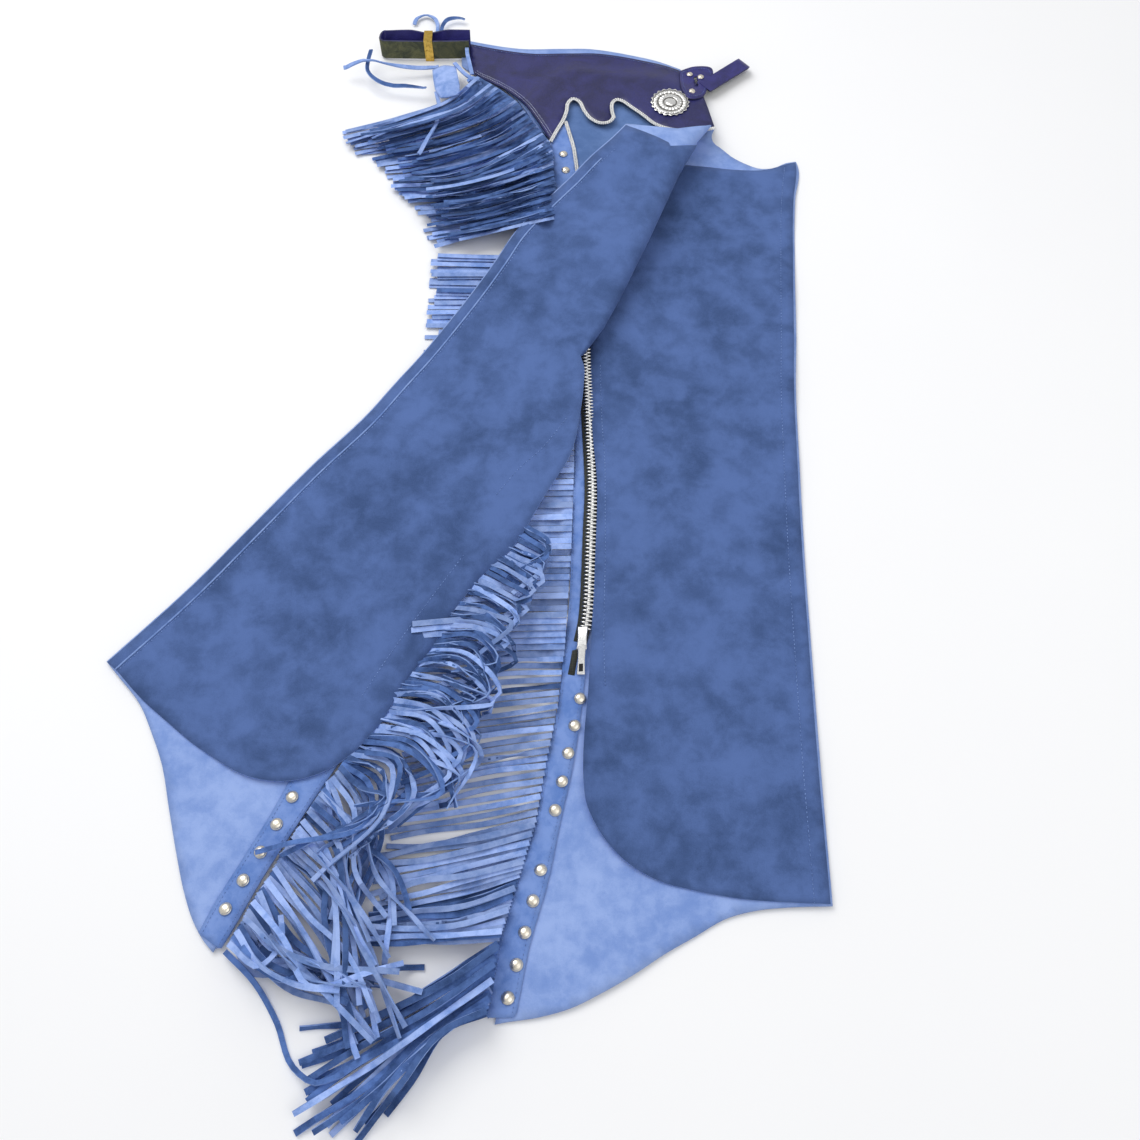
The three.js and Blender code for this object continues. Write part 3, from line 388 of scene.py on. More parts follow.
FINISHES = [
    # split suede brushed outside: deep matt blue in soft clouds
    Suede(Finish.NAP_OUT, "#354A74", "#566FA6", "#8B9EC6"),
    # the same hide less brushed: lighter and more even
    Suede(Finish.NAP_MID, "#4A6799", "#6A87BC", "#9AAED4"),
    # the flesh side: chalky and pale, since the dye sinks in less
    Suede(Finish.FLESH, "#7390CD", "#98B0E4", "#B8C8EE", cloud=60, streak=14, sheen=0.15, bump=0.25),
    # a knife-cut edge: loose pale fibre
    Suede(Finish.RAW_EDGE, "#5E7CB8", "#8AA4D8", "#B2C3EC", cloud=20, streak=6, fibre=0.7, bump=0.5),
    # cut strands: each a shade of its own, dark outside and pale inside
    Suede(Finish.STRAND_NAP, "#2B426F", "#5573AE", "#89A2CE", cloud=30, streak=9, tone=0.42),
    Suede(Finish.STRAND_FLESH, "#6485C4", "#A0B7EA", "#BCCCF0", cloud=30, streak=9, sheen=0.15, tone=0.3),
    # the fringe's head, pressed by its seams: a middle blue
    Suede(Finish.BAND, "#587BBE", "#7E9AD6", "#A9BEEA", cloud=30, streak=10, sheen=0.15, bump=0.4),
    # waxed smooth hide: navy with a low wide gloss
    Cowhide(Finish.YOKE, "#161750", "#2C2D70", roughness=0.46, coat=0.04),
    # drum-dyed strap, oiled: deeper and a little shinier, its undyed back olive and dull
    Cowhide(Finish.STRAP, "#18165A", "#322F82", roughness=0.42, coat=0.06),
    Cowhide(Finish.STRAP_FLESH, "#343B2C", "#6A6B48", cloud=14, pebble=1.0, roughness=0.8, coat=0.0),
    # an edge rubbed dark
    Cowhide(Finish.CUT_COWHIDE, "#1A1B3C", "#3C3F70", cloud=10, pebble=0.8, roughness=0.6, coat=0.0),
    # bonded thread: a fine twist that stands out light on the leather
    Textile(Finish.THREAD_BLUE, "#3A5890", "#7C9AD6"),
    Textile(Finish.THREAD_PALE, "#A9B8DC", "#DDE4F6"),
    # plaited cotton: white, with painted shade greying its grooves
    Textile(Finish.BRAID, "#C9C9C6", "#FAFAF7", yarn=1.1),
    # herringbone tape: nearly black
    Textile(Finish.TAPE, "#14161A", "#34382E", yarn=0.8),
    # nickel plate: bright on the zip, warm and brushed on the studs
    Metal(Finish.ZIP, "#ECECEA", "#C9C9C6", roughness=0.3),
    Metal(Finish.STUD, "#EEE6D6", "#BDB4A2", roughness=0.34),
    # cast white metal, polished, with blackened recesses that draw its rings
    Metal(Finish.CONCHO, "#F6F5F2", "#DEDCD7", roughness=0.3, bump=0.12),
    Metal(Finish.PATINA, "#8E8C88", "#55534F", roughness=0.45, bump=0.15),
    # polished brass: yellow, with brown handling marks
    Metal(Finish.BRASS, "#D9B45A", "#8F6F2C", roughness=0.25),
    # painted shadow: the dark inside of a punched hole, drawn as a near-black patch
    Textile(Finish.HOLE, "#08080A", "#15151A"),
]


class Shop:
    """The chaps' materials, each built once."""

    def __init__(self) -> None:
        """Builds every finish."""
        self.made = {row.finish: row.material() for row in FINISHES}

    def __getitem__(self, finish: Finish) -> Material:
        """The material of a finish."""
        return self.made[finish]

    def skins(self, *finishes: Finish) -> list[Material]:
        """The materials of several finishes, by skin number."""
        return [self.made[finish] for finish in finishes]


def spline(points: Points, step: float) -> Array:
    """A smooth line through points, with even spacing.

    Args:
        points: Rows of coordinates in millimetres.
        step: The spacing wanted, in millimetres.

    Returns:
        The points of the line, ends included.
    """
    rows = np.asarray(points, float)
    gaps = np.maximum(np.linalg.norm(np.diff(rows[:, :2], axis=0), axis=1), 1e-6)
    along = np.r_[0, np.cumsum(gaps)]
    slopes = np.diff(rows, axis=0) / gaps[:, None]
    ways = np.vstack([slopes[:1], (slopes[:-1] * gaps[1:, None] + slopes[1:] * gaps[:-1, None])
                      / (gaps[:-1] + gaps[1:])[:, None], slopes[-1:]])
    fine = np.linspace(0, along[-1], max(8, int(along[-1] / 1.5)))
    at = np.clip(np.searchsorted(along, fine, side="right") - 1, 0, len(gaps) - 1)
    span = gaps[at][:, None]
    t = ((fine - along[at]) / gaps[at])[:, None]
    line = ((1 + 2 * t) * (1 - t) ** 2 * rows[at] + t * (1 - t) ** 2 * span * ways[at]
            + t ** 2 * (3 - 2 * t) * rows[at + 1] + t ** 2 * (t - 1) * span * ways[at + 1])
    return evenly(line, step)


def evenly(line: Array, step: float) -> Array:
    """The same line with even spacing close to a step."""
    along = np.r_[0, np.cumsum(np.linalg.norm(np.diff(line[:, :2], axis=0), axis=1))]
    stops = np.linspace(0, along[-1], max(2, round(along[-1] / step) + 1))
    return np.stack([np.interp(stops, along, line[:, i]) for i in range(line.shape[1])], axis=1)


def shares(line: Array) -> Array:
    """Each point's share of the way along a line."""
    along = np.r_[0, np.cumsum(np.linalg.norm(np.diff(line[:, :2], axis=0), axis=1))]
    return along / along[-1]


def matched(line: Array, other: Array) -> Array:
    """The points of another line at the same shares of its length as a line's own."""
    return np.stack([np.interp(shares(line), shares(other), other[:, k]) for k in (0, 1)], axis=1)


def aside(line: Array, distance: float) -> Array:
    """A line moved to its left by a distance in millimetres."""
    way = np.gradient(line[:, :2], axis=0)
    way /= np.maximum(np.linalg.norm(way, axis=1), 1e-9)[:, None]
    return line[:, :2] + distance * np.stack([-way[:, 1], way[:, 0]], axis=1)


def outline(*tables: Points, step: float = 6.0) -> Array:
    """A closed outline of smooth stretches that meet at corners."""
    parts = [spline(rows, step) for rows in tables]
    joined = [parts[0][0]]
    for point in np.vstack(parts)[1:]:
        if np.linalg.norm(point - joined[-1]) > step * 0.3:
            joined.append(point)
    if np.linalg.norm(joined[-1] - joined[0]) < step * 0.5:
        joined.pop()
    return np.array(joined)


def within(points: Array, ring: Array) -> Array:
    """Which points lie inside a closed outline."""
    x, y = points[:, 0:1], points[:, 1:2]
    ax, ay = ring[:, 0], ring[:, 1]
    bx, by = np.roll(ax, -1), np.roll(ay, -1)
    cross = ((ay > y) != (by > y)) & (x < (bx - ax) * (y - ay) / np.where(by == ay, 1e-9, by - ay) + ax)
    return cross.sum(axis=1) % 2 == 1


def solid_of(node: str) -> BVHTree:
    """A node's solid, ready for rays."""
    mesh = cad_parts[node].data
    return BVHTree.FromPolygons([v.co for v in mesh.vertices], [tuple(p.vertices) for p in mesh.polygons])


class Bed:
    """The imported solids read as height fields, which every soft piece is laid on.

    Heights are millimetres over a grid of the floor. A field is one array with a value at each node of the
    grid.
    """

    STEP = 5.0
    LOW = (-460.0, -60.0)
    SIZE = (156, 268)
    BLUR = 11.0
    SKY = 0.3  # m, where the rays start

    def __init__(self) -> None:
        """Finds the grid's place from the concho, which is known in both frames."""
        low, high = (np.array(corner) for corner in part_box("concho"))
        middle = (low + high) / 2
        self.shift = middle[:2] / MM - np.array(CONCHO_PLACE)
        self.xs = self.LOW[0] + self.STEP * np.arange(self.SIZE[0])
        self.ys = self.LOW[1] + self.STEP * np.arange(self.SIZE[1])
        self.spots = np.stack(np.meshgrid(self.xs, self.ys, indexing="ij"), axis=-1)
        waves = [(190, 0.3, 0.0), (120, 1.2, 1.0), (260, -0.7, 2.0), (85, 2.2, 0.5)]
        x, y = self.spots[..., 0], self.spots[..., 1]
        self.ripple = sum(0.45 * (1 + np.sin(math.tau * (x * math.cos(a) + y * math.sin(a)) / size + phase))
                          for size, a, phase in waves)

    def place(self, points: Array) -> Array:
        """Turns rows of floor millimetres into metres of the part's frame."""
        moved = np.array(points, float)
        moved[:, :2] += self.shift
        return moved * MM

    def cast(self, node: str, down: bool) -> Array:
        """The highest or lowest surface of a node, read by rays on the grid, with nan where no ray meets it.
        """
        tree = solid_of(node)
        way = Vector((0, 0, -1 if down else 1))
        height = self.SKY if down else -self.SKY
        found = np.full(self.SIZE, np.nan)
        low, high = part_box(node)
        flat = (self.spots + self.shift) * MM
        near = np.all((flat > np.array(low)[:2] - MM) & (flat < np.array(high)[:2] + MM), axis=-1)
        for i, j in zip(*np.nonzero(near)):
            hit = tree.ray_cast(Vector((flat[i, j, 0], flat[i, j, 1], height)), way)[0]
            if hit is not None:
                found[i, j] = hit.z / MM
        return found

    def blurred(self, field_: Array, size: float) -> Array:
        """A field with its gaps filled from what is near, and its steps softened."""
        known = ~np.isnan(field_)
        total = np.where(known, field_, 0.0)
        out = np.full(self.SIZE, np.nan)
        for spread in (size, 3 * size, 12 * size, 60 * size):
            half = int(3 * spread / self.STEP) + 1
            kernel = np.exp(-0.5 * (np.arange(-half, half + 1) * self.STEP / spread) ** 2)
            value, weight = total, known.astype(float)
            for axis in (0, 1):
                value = np.apply_along_axis(np.convolve, axis, value, kernel)
                weight = np.apply_along_axis(np.convolve, axis, weight, kernel)
                cut = [slice(None), slice(None)]
                cut[axis] = slice(half, half + self.SIZE[axis])
                value, weight = value[tuple(cut)], weight[tuple(cut)]
            fill = np.isnan(out) & (weight > 1e-3)
            out[fill] = value[fill] / weight[fill]
        return np.nan_to_num(out)

    def layer(self, node: str, down: bool = True, inside: Array | None = None) -> Array:
        """The blurred surface of a node, read only inside an outline if one is given."""
        raw = self.cast(node, down)
        if inside is not None:
            keep = within(self.spots.reshape(-1, 2), inside).reshape(self.SIZE)
            raw[~keep] = np.nan
        return self.blurred(raw, self.BLUR)

    def at(self, field_: Array, points: Array) -> Array:
        """A field's heights at rows of floor points."""
        u = np.clip((points[:, 0] - self.LOW[0]) / self.STEP, 0, self.SIZE[0] - 1.001)
        v = np.clip((points[:, 1] - self.LOW[1]) / self.STEP, 0, self.SIZE[1] - 1.001)
        i, j = u.astype(int), v.astype(int)
        s, t = u - i, v - j
        return ((1 - s) * (1 - t) * field_[i, j] + s * (1 - t) * field_[i + 1, j]
                + (1 - s) * t * field_[i, j + 1] + s * t * field_[i + 1, j + 1])

    def mask(self, ring: Array, margin: float = 0.0) -> Array:
        """Where the grid lies inside an outline, grown by a margin."""
        inside = within(self.spots.reshape(-1, 2), ring).reshape(self.SIZE)
        for _ in range(round(margin / self.STEP)):
            grown = inside.copy()
            grown[1:] |= inside[:-1]
            grown[:-1] |= inside[1:]
            grown[:, 1:] |= inside[:, :-1]
            grown[:, :-1] |= inside[:, 1:]
            inside = grown
        return inside


@dataclass
class Shape:
    """A mesh in the making: corners in floor millimetres, faces, and each face's material."""

    corners: list = field(default_factory=list)
    faces: list = field(default_factory=list)
    skins: list = field(default_factory=list)
    tones: list = field(default_factory=list)

    def add(self, corners: Array, faces: Sequence[Sequence[int]], skin: int = 0,
            tone: float = 0.5) -> None:
        """Adds a patch of corners and faces."""
        base = len(self.corners)
        self.corners.extend(map(tuple, corners))
        self.faces.extend(tuple(base + i for i in face) for face in faces)
        self.skins.extend([skin] * len(faces))
        self.tones.extend([tone] * len(corners))

    def grid(self, rows: Array, skin: int = 0, ring: bool = False, tone: float = 0.5) -> None:
        """Adds a sheet of quads from an array of rows of points; ring closes each row on itself."""
        count, across = rows.shape[:2]
        last = across if ring else across - 1
        faces = [(i * across + j, i * across + (j + 1) % across, (i + 1) * across + (j + 1) % across,
                  (i + 1) * across + j) for i in range(count - 1) for j in range(last)]
        self.add(rows.reshape(-1, 3), faces, skin, tone)

    def band(self, sections: Array, skins: Sequence[int], tone: float = 0.5) -> None:
        """Adds a closed band.

        Args:
            sections: The four corners of its section at each step.
            skins: Of its underside, first edge, top and second edge; its ends take the first edge's.
            tone: How light it is among its neighbours, from 0 to 1.
        """
        steps = len(sections) - 1
        faces = [(4 * i + k, 4 * i + (k + 1) % 4, 4 * i + (k + 1) % 4 + 4, 4 * i + k + 4)
                 for i in range(steps) for k in range(4)]
        faces += [(3, 2, 1, 0), tuple(4 * steps + k for k in range(4))]
        self.add(sections.reshape(-1, 3), faces, tone=tone)
        self.skins[-len(faces):] = list(skins) * steps + [skins[1]] * 2

    def piece(self, name: str, bed: Bed, materials: Sequence[Material], merge: float = 0.0,
              smooth: float = 180.0, outwards: bool = False) -> Object:
        """Makes the object.

        Args:
            name: The piece's name.
            bed: Gives the part's frame.
            materials: By skin number.
            merge: Corners closer than this many millimetres become one.
            smooth: The angle in degrees past which an edge stays sharp.
            outwards: Whether to turn a closed shell's faces out.

        Returns:
            The object, at the origin.
        """
        mesh = bpy.data.meshes.new(name)
        mesh.from_pydata(bed.place(np.array(self.corners)).tolist(), [], self.faces)
        mesh.polygons.foreach_set("material_index", self.skins)
        tone = mesh.attributes.new("tone", "FLOAT", "POINT")
        tone.data.foreach_set("value", self.tones)
        if merge or outwards:
            made = bmesh.new()
            made.from_mesh(mesh)
            if merge:
                bmesh.ops.remove_doubles(made, verts=made.verts, dist=merge * MM)
            if outwards:
                bmesh.ops.recalc_face_normals(made, faces=made.faces)
            made.to_mesh(mesh)
            made.free()
        for material in materials:
            mesh.materials.append(material)
        mesh.shade_smooth()
        if smooth < 180:
            mesh.set_sharp_from_angle(angle=math.radians(smooth))
        made_object = bpy.data.objects.new(name, mesh)
        bpy.context.scene.collection.objects.link(made_object)
        return made_object


def filled(ring: Array, step: float) -> tuple[Array, list]:
    """Fills an outline with triangles.

    Args:
        ring: The closed outline.
        step: The spacing of the inner points.

    Returns:
        The flat points and the triangles, which all face up.
    """
    low, high = ring.min(axis=0), ring.max(axis=0)
    xs = np.arange(low[0], high[0], step)
    ys = np.arange(low[1], high[1], step * 0.87)
    inner = np.array([(x + (j % 2) * step / 2, y) for j, y in enumerate(ys) for x in xs])
    inner = inner[within(inner, ring)]
    gap = np.array([np.min(np.hypot(*(ring - p).T)) for p in inner]) if len(inner) else np.zeros(0)
    inner = inner[gap > step * 0.55]
    points = [Vector(p) for p in np.vstack([ring, inner])]
    edges = [(i, (i + 1) % len(ring)) for i in range(len(ring))]
    made, _, faces = delaunay_2d_cdt(points, edges, [], 1, 1e-4)[:3]
    flat = np.array([tuple(p) for p in made])
    turned = []
    for face in faces:
        a, b, c = (flat[i] for i in face[:3])
        up = (b[0] - a[0]) * (c[1] - a[1]) - (b[1] - a[1]) * (c[0] - a[0]) > 0
        turned.append(tuple(face) if up else tuple(reversed(face)))
    return flat, turned


def towards_eye(points: Array) -> Array:
    """Moves raised points along their lines of sight, so that they show where their outline was measured."""
    return np.concatenate([points[..., :2] * (1 - points[..., 2:] / EYE_HEIGHT), points[..., 2:]], axis=-1)


def on(bed: Bed, heights: Array, flat: Array, lift: float = 0.0) -> Array:
    """Flat points laid on a field, lifted a little."""
    return towards_eye(np.column_stack([flat[:, :2], bed.at(heights, flat) + lift]))


def walled(piece: Object, thickness: float) -> None:
    """Gives a sheet its thickness, on the side away from its faces, with its own back and edge materials.

    Args:
        piece: The sheet.
        thickness: In millimetres.
    """
    wall = piece.modifiers.new("wall", "SOLIDIFY")
    wall.thickness = thickness * MM
    wall.offset = -1
    wall.use_even_offset = False
    wall.material_offset = 1
    wall.material_offset_rim = 2


def keep(piece: Object, slot: str, *nodes: str) -> Object:
    """Rides a piece on the part, hides the solids that it stands for, and logs its faces."""
    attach(piece, "root")
    if nodes:
        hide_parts(*nodes)
    log.info("%s: %d faces", piece.name, len(piece.data.polygons))
    return piece


def group(name: str, *sizes: str) -> tuple[NodeTree, object]:
    """A Geometry Nodes tree with its inputs and output.

    Args:
        name: The tree's name.
        *sizes: Names of its inputs, besides the geometry and the material.

    Returns:
        The tree and the sockets of its inputs, by name.
    """
    tree = bpy.data.node_groups.new(name, "GeometryNodeTree")
    rows = [("Geometry", "INPUT", "Geometry")]
    rows += [(size, "INPUT", "Int" if size == "Seed" else "Float") for size in sizes]
    rows += [("Material", "INPUT", "Material"), ("Geometry", "OUTPUT", "Geometry")]
    for label, way, kind in rows:
        tree.interface.new_socket(label, in_out=way, socket_type="NodeSocket" + kind)
    return tree, add(tree, "NodeGroupInput").outputs


def spaced_along(tree: NodeTree, given: object) -> tuple[Node, NodeSocket]:
    """Spaces points along the lines that a tree is given.

    Args:
        tree: The tree.
        given: Its inputs, with the pitch among them.

    Returns:
        The points, and the line's way at each.
    """
    line = add(tree, "GeometryNodeMeshToCurve", {0: given["Geometry"]})
    spaced = add(tree, "GeometryNodeResampleCurve", {"Curve": line.outputs[0], "Length": given["Pitch"]},
                 mode="LENGTH")
    return spaced, add(tree, "GeometryNodeInputTangent").outputs[0]


def ended(tree: NodeTree, given: object, made: Node) -> NodeTree:
    """Ends a tree by making its copies real and dressing them.

    Args:
        tree: The tree.
        given: Its inputs, with the material among them.
        made: The node that gives the copies.

    Returns:
        The tree.
    """
    real = add(tree, "GeometryNodeRealizeInstances", {0: made.outputs[0]})
    dressed = add(tree, "GeometryNodeSetMaterial", {0: real.outputs[0], "Material": given["Material"]})
    add(tree, "NodeGroupOutput", {0: dressed.outputs[0]})
    return tree


class Layers:
    """The stack of height fields, from the floor up, each a sheet's thickness or more above the one below."""

    def __init__(self, bed: Bed) -> None:
        """Reads the solids and settles the stack."""
        self.bed = bed
        self.a_ring = outline(A_HEM, A_EDGE, A_YOKE_SEAT, A_CROTCH, A_INSEAM)
        self.a_back_ring = outline(A_BACK_TOP, A_BACK_SIDE, A_BACK_HEM, A_BACK_INSEAM)
        self.low_ring = outline(B_LOW_EDGE, B_LOW_TOP, [ROLL_TIP, FOLD[1]], [FOLD[1], FOLD[0]])
        self.high_ring = outline(B_INSEAM, B_FRONT_HEM, B_EDGE, [FOLD[0], FOLD[1]], [FOLD[1], B_INSEAM[0]])
        self.yoke_ring = outline(YOKE_TOP, YOKE_FRONT, *YOKE_SCALLOPS, YOKE_BACK, YOKE_END)
        self.a_front = bed.layer("leg_a_front_panel") + bed.ripple
        self.a_back = self.above(bed.layer("leg_a_back_panel") + bed.ripple,
                                 (self.a_front, self.a_ring, 2.0))
        self.a_yoke = self.above(bed.layer("yoke_a") + bed.ripple, (self.a_front, self.a_ring, 2.0))
        low = bed.layer("leg_b_front_panel", False, self.low_ring) + 1.8 + bed.ripple
        self.b_low = self.above(low, (self.a_front, self.a_ring, 3.9), (self.a_back, self.a_back_ring, 3.9),
                                (self.a_yoke, self.yoke_ring, 3.9))
        self.strip = self.above(bed.layer("side_strip") + bed.ripple, (self.b_low, self.low_ring, 2.0))
        self.yoke = self.above(bed.layer("yoke_b") + bed.ripple, (self.b_low, self.low_ring, 2.4),
                               (self.strip, self.low_ring, 2.0))
        high = bed.layer("leg_b_front_panel", True, self.high_ring) + bed.ripple
        self.b_high = self.above(high, (self.a_front, self.a_ring, 2.2),
                                 (self.a_back, self.a_back_ring, 2.2),
                                 (self.b_low, self.low_ring, 3.0), (self.strip, self.low_ring, 3.0))
        back = bed.layer("leg_b_back_panel", True, self.high_ring) + bed.ripple
        self.b_back = self.above(back, (self.b_high, self.high_ring, 2.0))

    def above(self, upper: Array, *lower: tuple[Array, Array, float]) -> Array:
        """A field raised to lie on others.

        Args:
            upper: The field to raise.
            *lower: Fields beneath, the outline that each fills, and the height to keep over it.

        Returns:
            The raised field, softened where it steps up.
        """
        raised = upper.copy()
        for field_, ring, gap in lower:
            here = self.bed.mask(ring, 10)
            raised[here] = np.maximum(raised[here], field_[here] + gap)
        soft = self.bed.blurred(raised, 7.0)
        for field_, ring, gap in lower:
            here = self.bed.mask(ring)
            soft[here] = np.maximum(soft[here], field_[here] + gap - 0.3)
        return soft


class Stitching:
    """Rows of stitches, laid by a Geometry Nodes tree along lines on the leather."""

    LENGTH = 2.7
    PITCH = 3.9
    THREAD = 0.9

    def __init__(self, bed: Bed, shop: Shop) -> None:
        """Keeps the frame and finishes, and builds the tree."""
        self.bed = bed
        self.shop = shop
        self.tree = self.build()

    def build(self) -> NodeTree:
        """A tree that lays one stitch, a flattened bead, at each step of a line."""
        tree, given = group("stitches_along_line", "Pitch", "Length", "Thread")
        spaced, way = spaced_along(tree, given)
        bead = add(tree, "GeometryNodeMeshUVSphere", {"Segments": 6, "Rings": 4, "Radius": 0.5})
        turn = add(tree, "FunctionNodeAlignRotationToVector", {"Vector": way}, axis="X")
        size = add(tree, "ShaderNodeCombineXYZ",
                   {0: given["Length"], 1: given["Thread"], 2: given["Thread"]})
        laid = add(tree, "GeometryNodeInstanceOnPoints",
                   {"Points": spaced.outputs[0], "Instance": bead.outputs[0],
                    "Rotation": turn.outputs[0], "Scale": size.outputs[0]})
        return ended(tree, given, laid)

    def sew(self, name: str, lines: Sequence[Array], finish: Finish, slot: str, pitch: float = PITCH,
            length: float = LENGTH, thread: float = THREAD) -> Object:
        """Sews lines of stitches.

        Args:
            name: The piece's name.
            lines: Each line's points, in floor millimetres with their heights.
            finish: The thread's finish.
            slot: Not used.
            pitch: From stitch to stitch, in millimetres.
            length: Of one stitch.
            thread: Its thickness.

        Returns:
            The stitches as one plain mesh.
        """
        values = {"Pitch": pitch * MM, "Length": length * MM, "Thread": thread * MM,
                  "Material": self.shop[finish]}
        piece = grown(name, self.bed, lines, self.tree, values)
        return keep(piece, slot)


def grown(name: str, bed: Bed, lines: Sequence[Array], tree: NodeTree, values: dict,
          smooth: float = 180.0) -> Object:
    """Runs a Geometry Nodes tree on lines of points and keeps what it makes as a plain mesh.

    Args:
        name: The piece's name.
        bed: Gives the part's frame.
        lines: Each line's points, in floor millimetres with their heights.
        tree: The tree.
        values: Its inputs by name.
        smooth: The angle in degrees past which an edge stays sharp.

    Returns:
        The piece, at the origin.
    """
    corners, edges = [], []
    for line in lines:
        base = len(corners)
        corners.extend(bed.place(line).tolist())
        edges.extend((base + i, base + i + 1) for i in range(len(line) - 1))
    guide = bpy.data.meshes.new(name + "_line")
    guide.from_pydata(corners, edges, [])
    holder = bpy.data.objects.new(name + "_line", guide)
    bpy.context.scene.collection.objects.link(holder)
    modifier = holder.modifiers.new("pattern", "NODES")
    modifier.node_group = tree
    for item in tree.interface.items_tree:
        if item.item_type == "SOCKET" and item.in_out == "INPUT" and item.name in values:
            modifier[item.identifier] = values[item.name]
    holder.update_tag()
    bpy.context.view_layer.update()
    evaluated = holder.evaluated_get(bpy.context.evaluated_depsgraph_get())
    mesh = bpy.data.meshes.new_from_object(evaluated)
    mesh.name = name
    mesh.shade_smooth()
    if smooth < 180:
        mesh.set_sharp_from_angle(angle=math.radians(smooth))
    holder.modifiers.clear()
    bpy.data.objects.remove(holder)
    piece = bpy.data.objects.new(name, mesh)
    bpy.context.scene.collection.objects.link(piece)
    return piece


# the row beside leg A's zip, the two rows on leg B's back panel, and the ends of the crease below the zip
A_ZIP_SEAM = [(31, 372), (30.5, 400), (31, 440), (33, 500), (33.5, 550), (34, 600), (31.5, 660), (31, 720)]
B_BACK_SEAM = [(-4, 655), (-26, 622), (-50, 596), (-70, 568)]
B_LOWER_SEAM = [(-100, 500), (-130, 452), (-160, 402), (-182, 362)]
CREASE = np.array([(14.0, 357.0), (46.0, 376.0)])
# pitch, length and thickness of each kind of stitch, in millimetres
YOKE_STITCH = (2.6, 1.9, 0.5)
TOP_STITCH = (3.0, 2.0, 0.5)
TAB_STITCH = (2.8, 1.9, 0.5)
BAND_STITCH = (3.6, 2.4, 0.6)


@dataclass
class Maker:
    """What each part of the chaps is made with."""

    bed: Bed
    layers: Layers
    shop: Shop
    sewing: Stitching

    def laid(self, name: str, ring: Array, heights: Array, finishes: Sequence[Finish], wall: float,
             slot: str, *nodes: str, step: float = 7.0, lift: float = 0.0) -> Object:
        """Lays one sheet of hide on a field.

        Args:
            name: The piece's name.
            ring: The sheet's outline.
            heights: The field.
            finishes: Of its upper face, its back and its edge.
            wall: Its thickness in millimetres.
            slot: Not used.
            *nodes: The solids that it replaces.
            step: The size of its faces.
            lift: How far its upper face stands over the field.

        Returns:
            The sheet, kept as a piece.
        """
        flat, faces = filled(ring, step)
        shape = Shape()
        shape.add(on(self.bed, heights, flat, lift), faces)
        piece = shape.piece(name, self.bed, self.shop.skins(*finishes))
        walled(piece, wall)
        return keep(piece, slot, *nodes)


@dataclass
class LegA(Maker):
    """The leg beneath: its front panel face down, and its back panel folded over it, dark side up."""

    wall: float = 1.6
    seam_inset: float = 12.0

    def build(self) -> None:
        """Builds both panels and their seams."""
        piece = self.laid("leg_a_front_suede", self.layers.a_ring, self.layers.a_front,
                          (Finish.FLESH, Finish.NAP_OUT, Finish.RAW_EDGE), self.wall, "suede_inner",
                          "leg_a_front_panel", step=9.0)

        flat, faces = filled(self.layers.a_back_ring, 9.0)
        lift = self.lift(flat)
        back = Shape()
        back.add(on(self.bed, self.layers.a_back, flat) + np.c_[0 * flat, lift], faces)
        skins = self.shop.skins(Finish.NAP_OUT, Finish.FLESH, Finish.RAW_EDGE)
        piece = back.piece("leg_a_back_suede", self.bed, skins)
        walled(piece, self.wall)
        keep(piece, "suede_outer", "leg_a_back_panel")
        self.seams()

    def lift(self, flat: Array) -> Array:
        """The small crease that runs in from the panel's edge below the zip."""
        start_, end = CREASE
        way = (end - start_) / np.linalg.norm(end - start_)
        along = (flat - start_) @ way
        off = (flat - start_) @ np.array((-way[1], way[0]))
        fade = np.clip(1 - np.abs(along - 14) / 26, 0, 1)
        return fade * (3.2 * np.exp(-((off + 3) / 3.5) ** 2) - 1.0 * np.exp(-((off - 3) / 3) ** 2))

    def seams(self) -> None:
        """Sews the row beside the zip and the faint one beside the inseam."""
        inseam = aside(spline(A_BACK_INSEAM[:-1], 6), 13)
        lines = [on(self.bed, self.layers.a_back, line, 0.15) for line in (spline(A_ZIP_SEAM, 4), inseam)]
        self.sewing.sew("leg_a_seams", lines, Finish.THREAD_BLUE, "suede_outer")


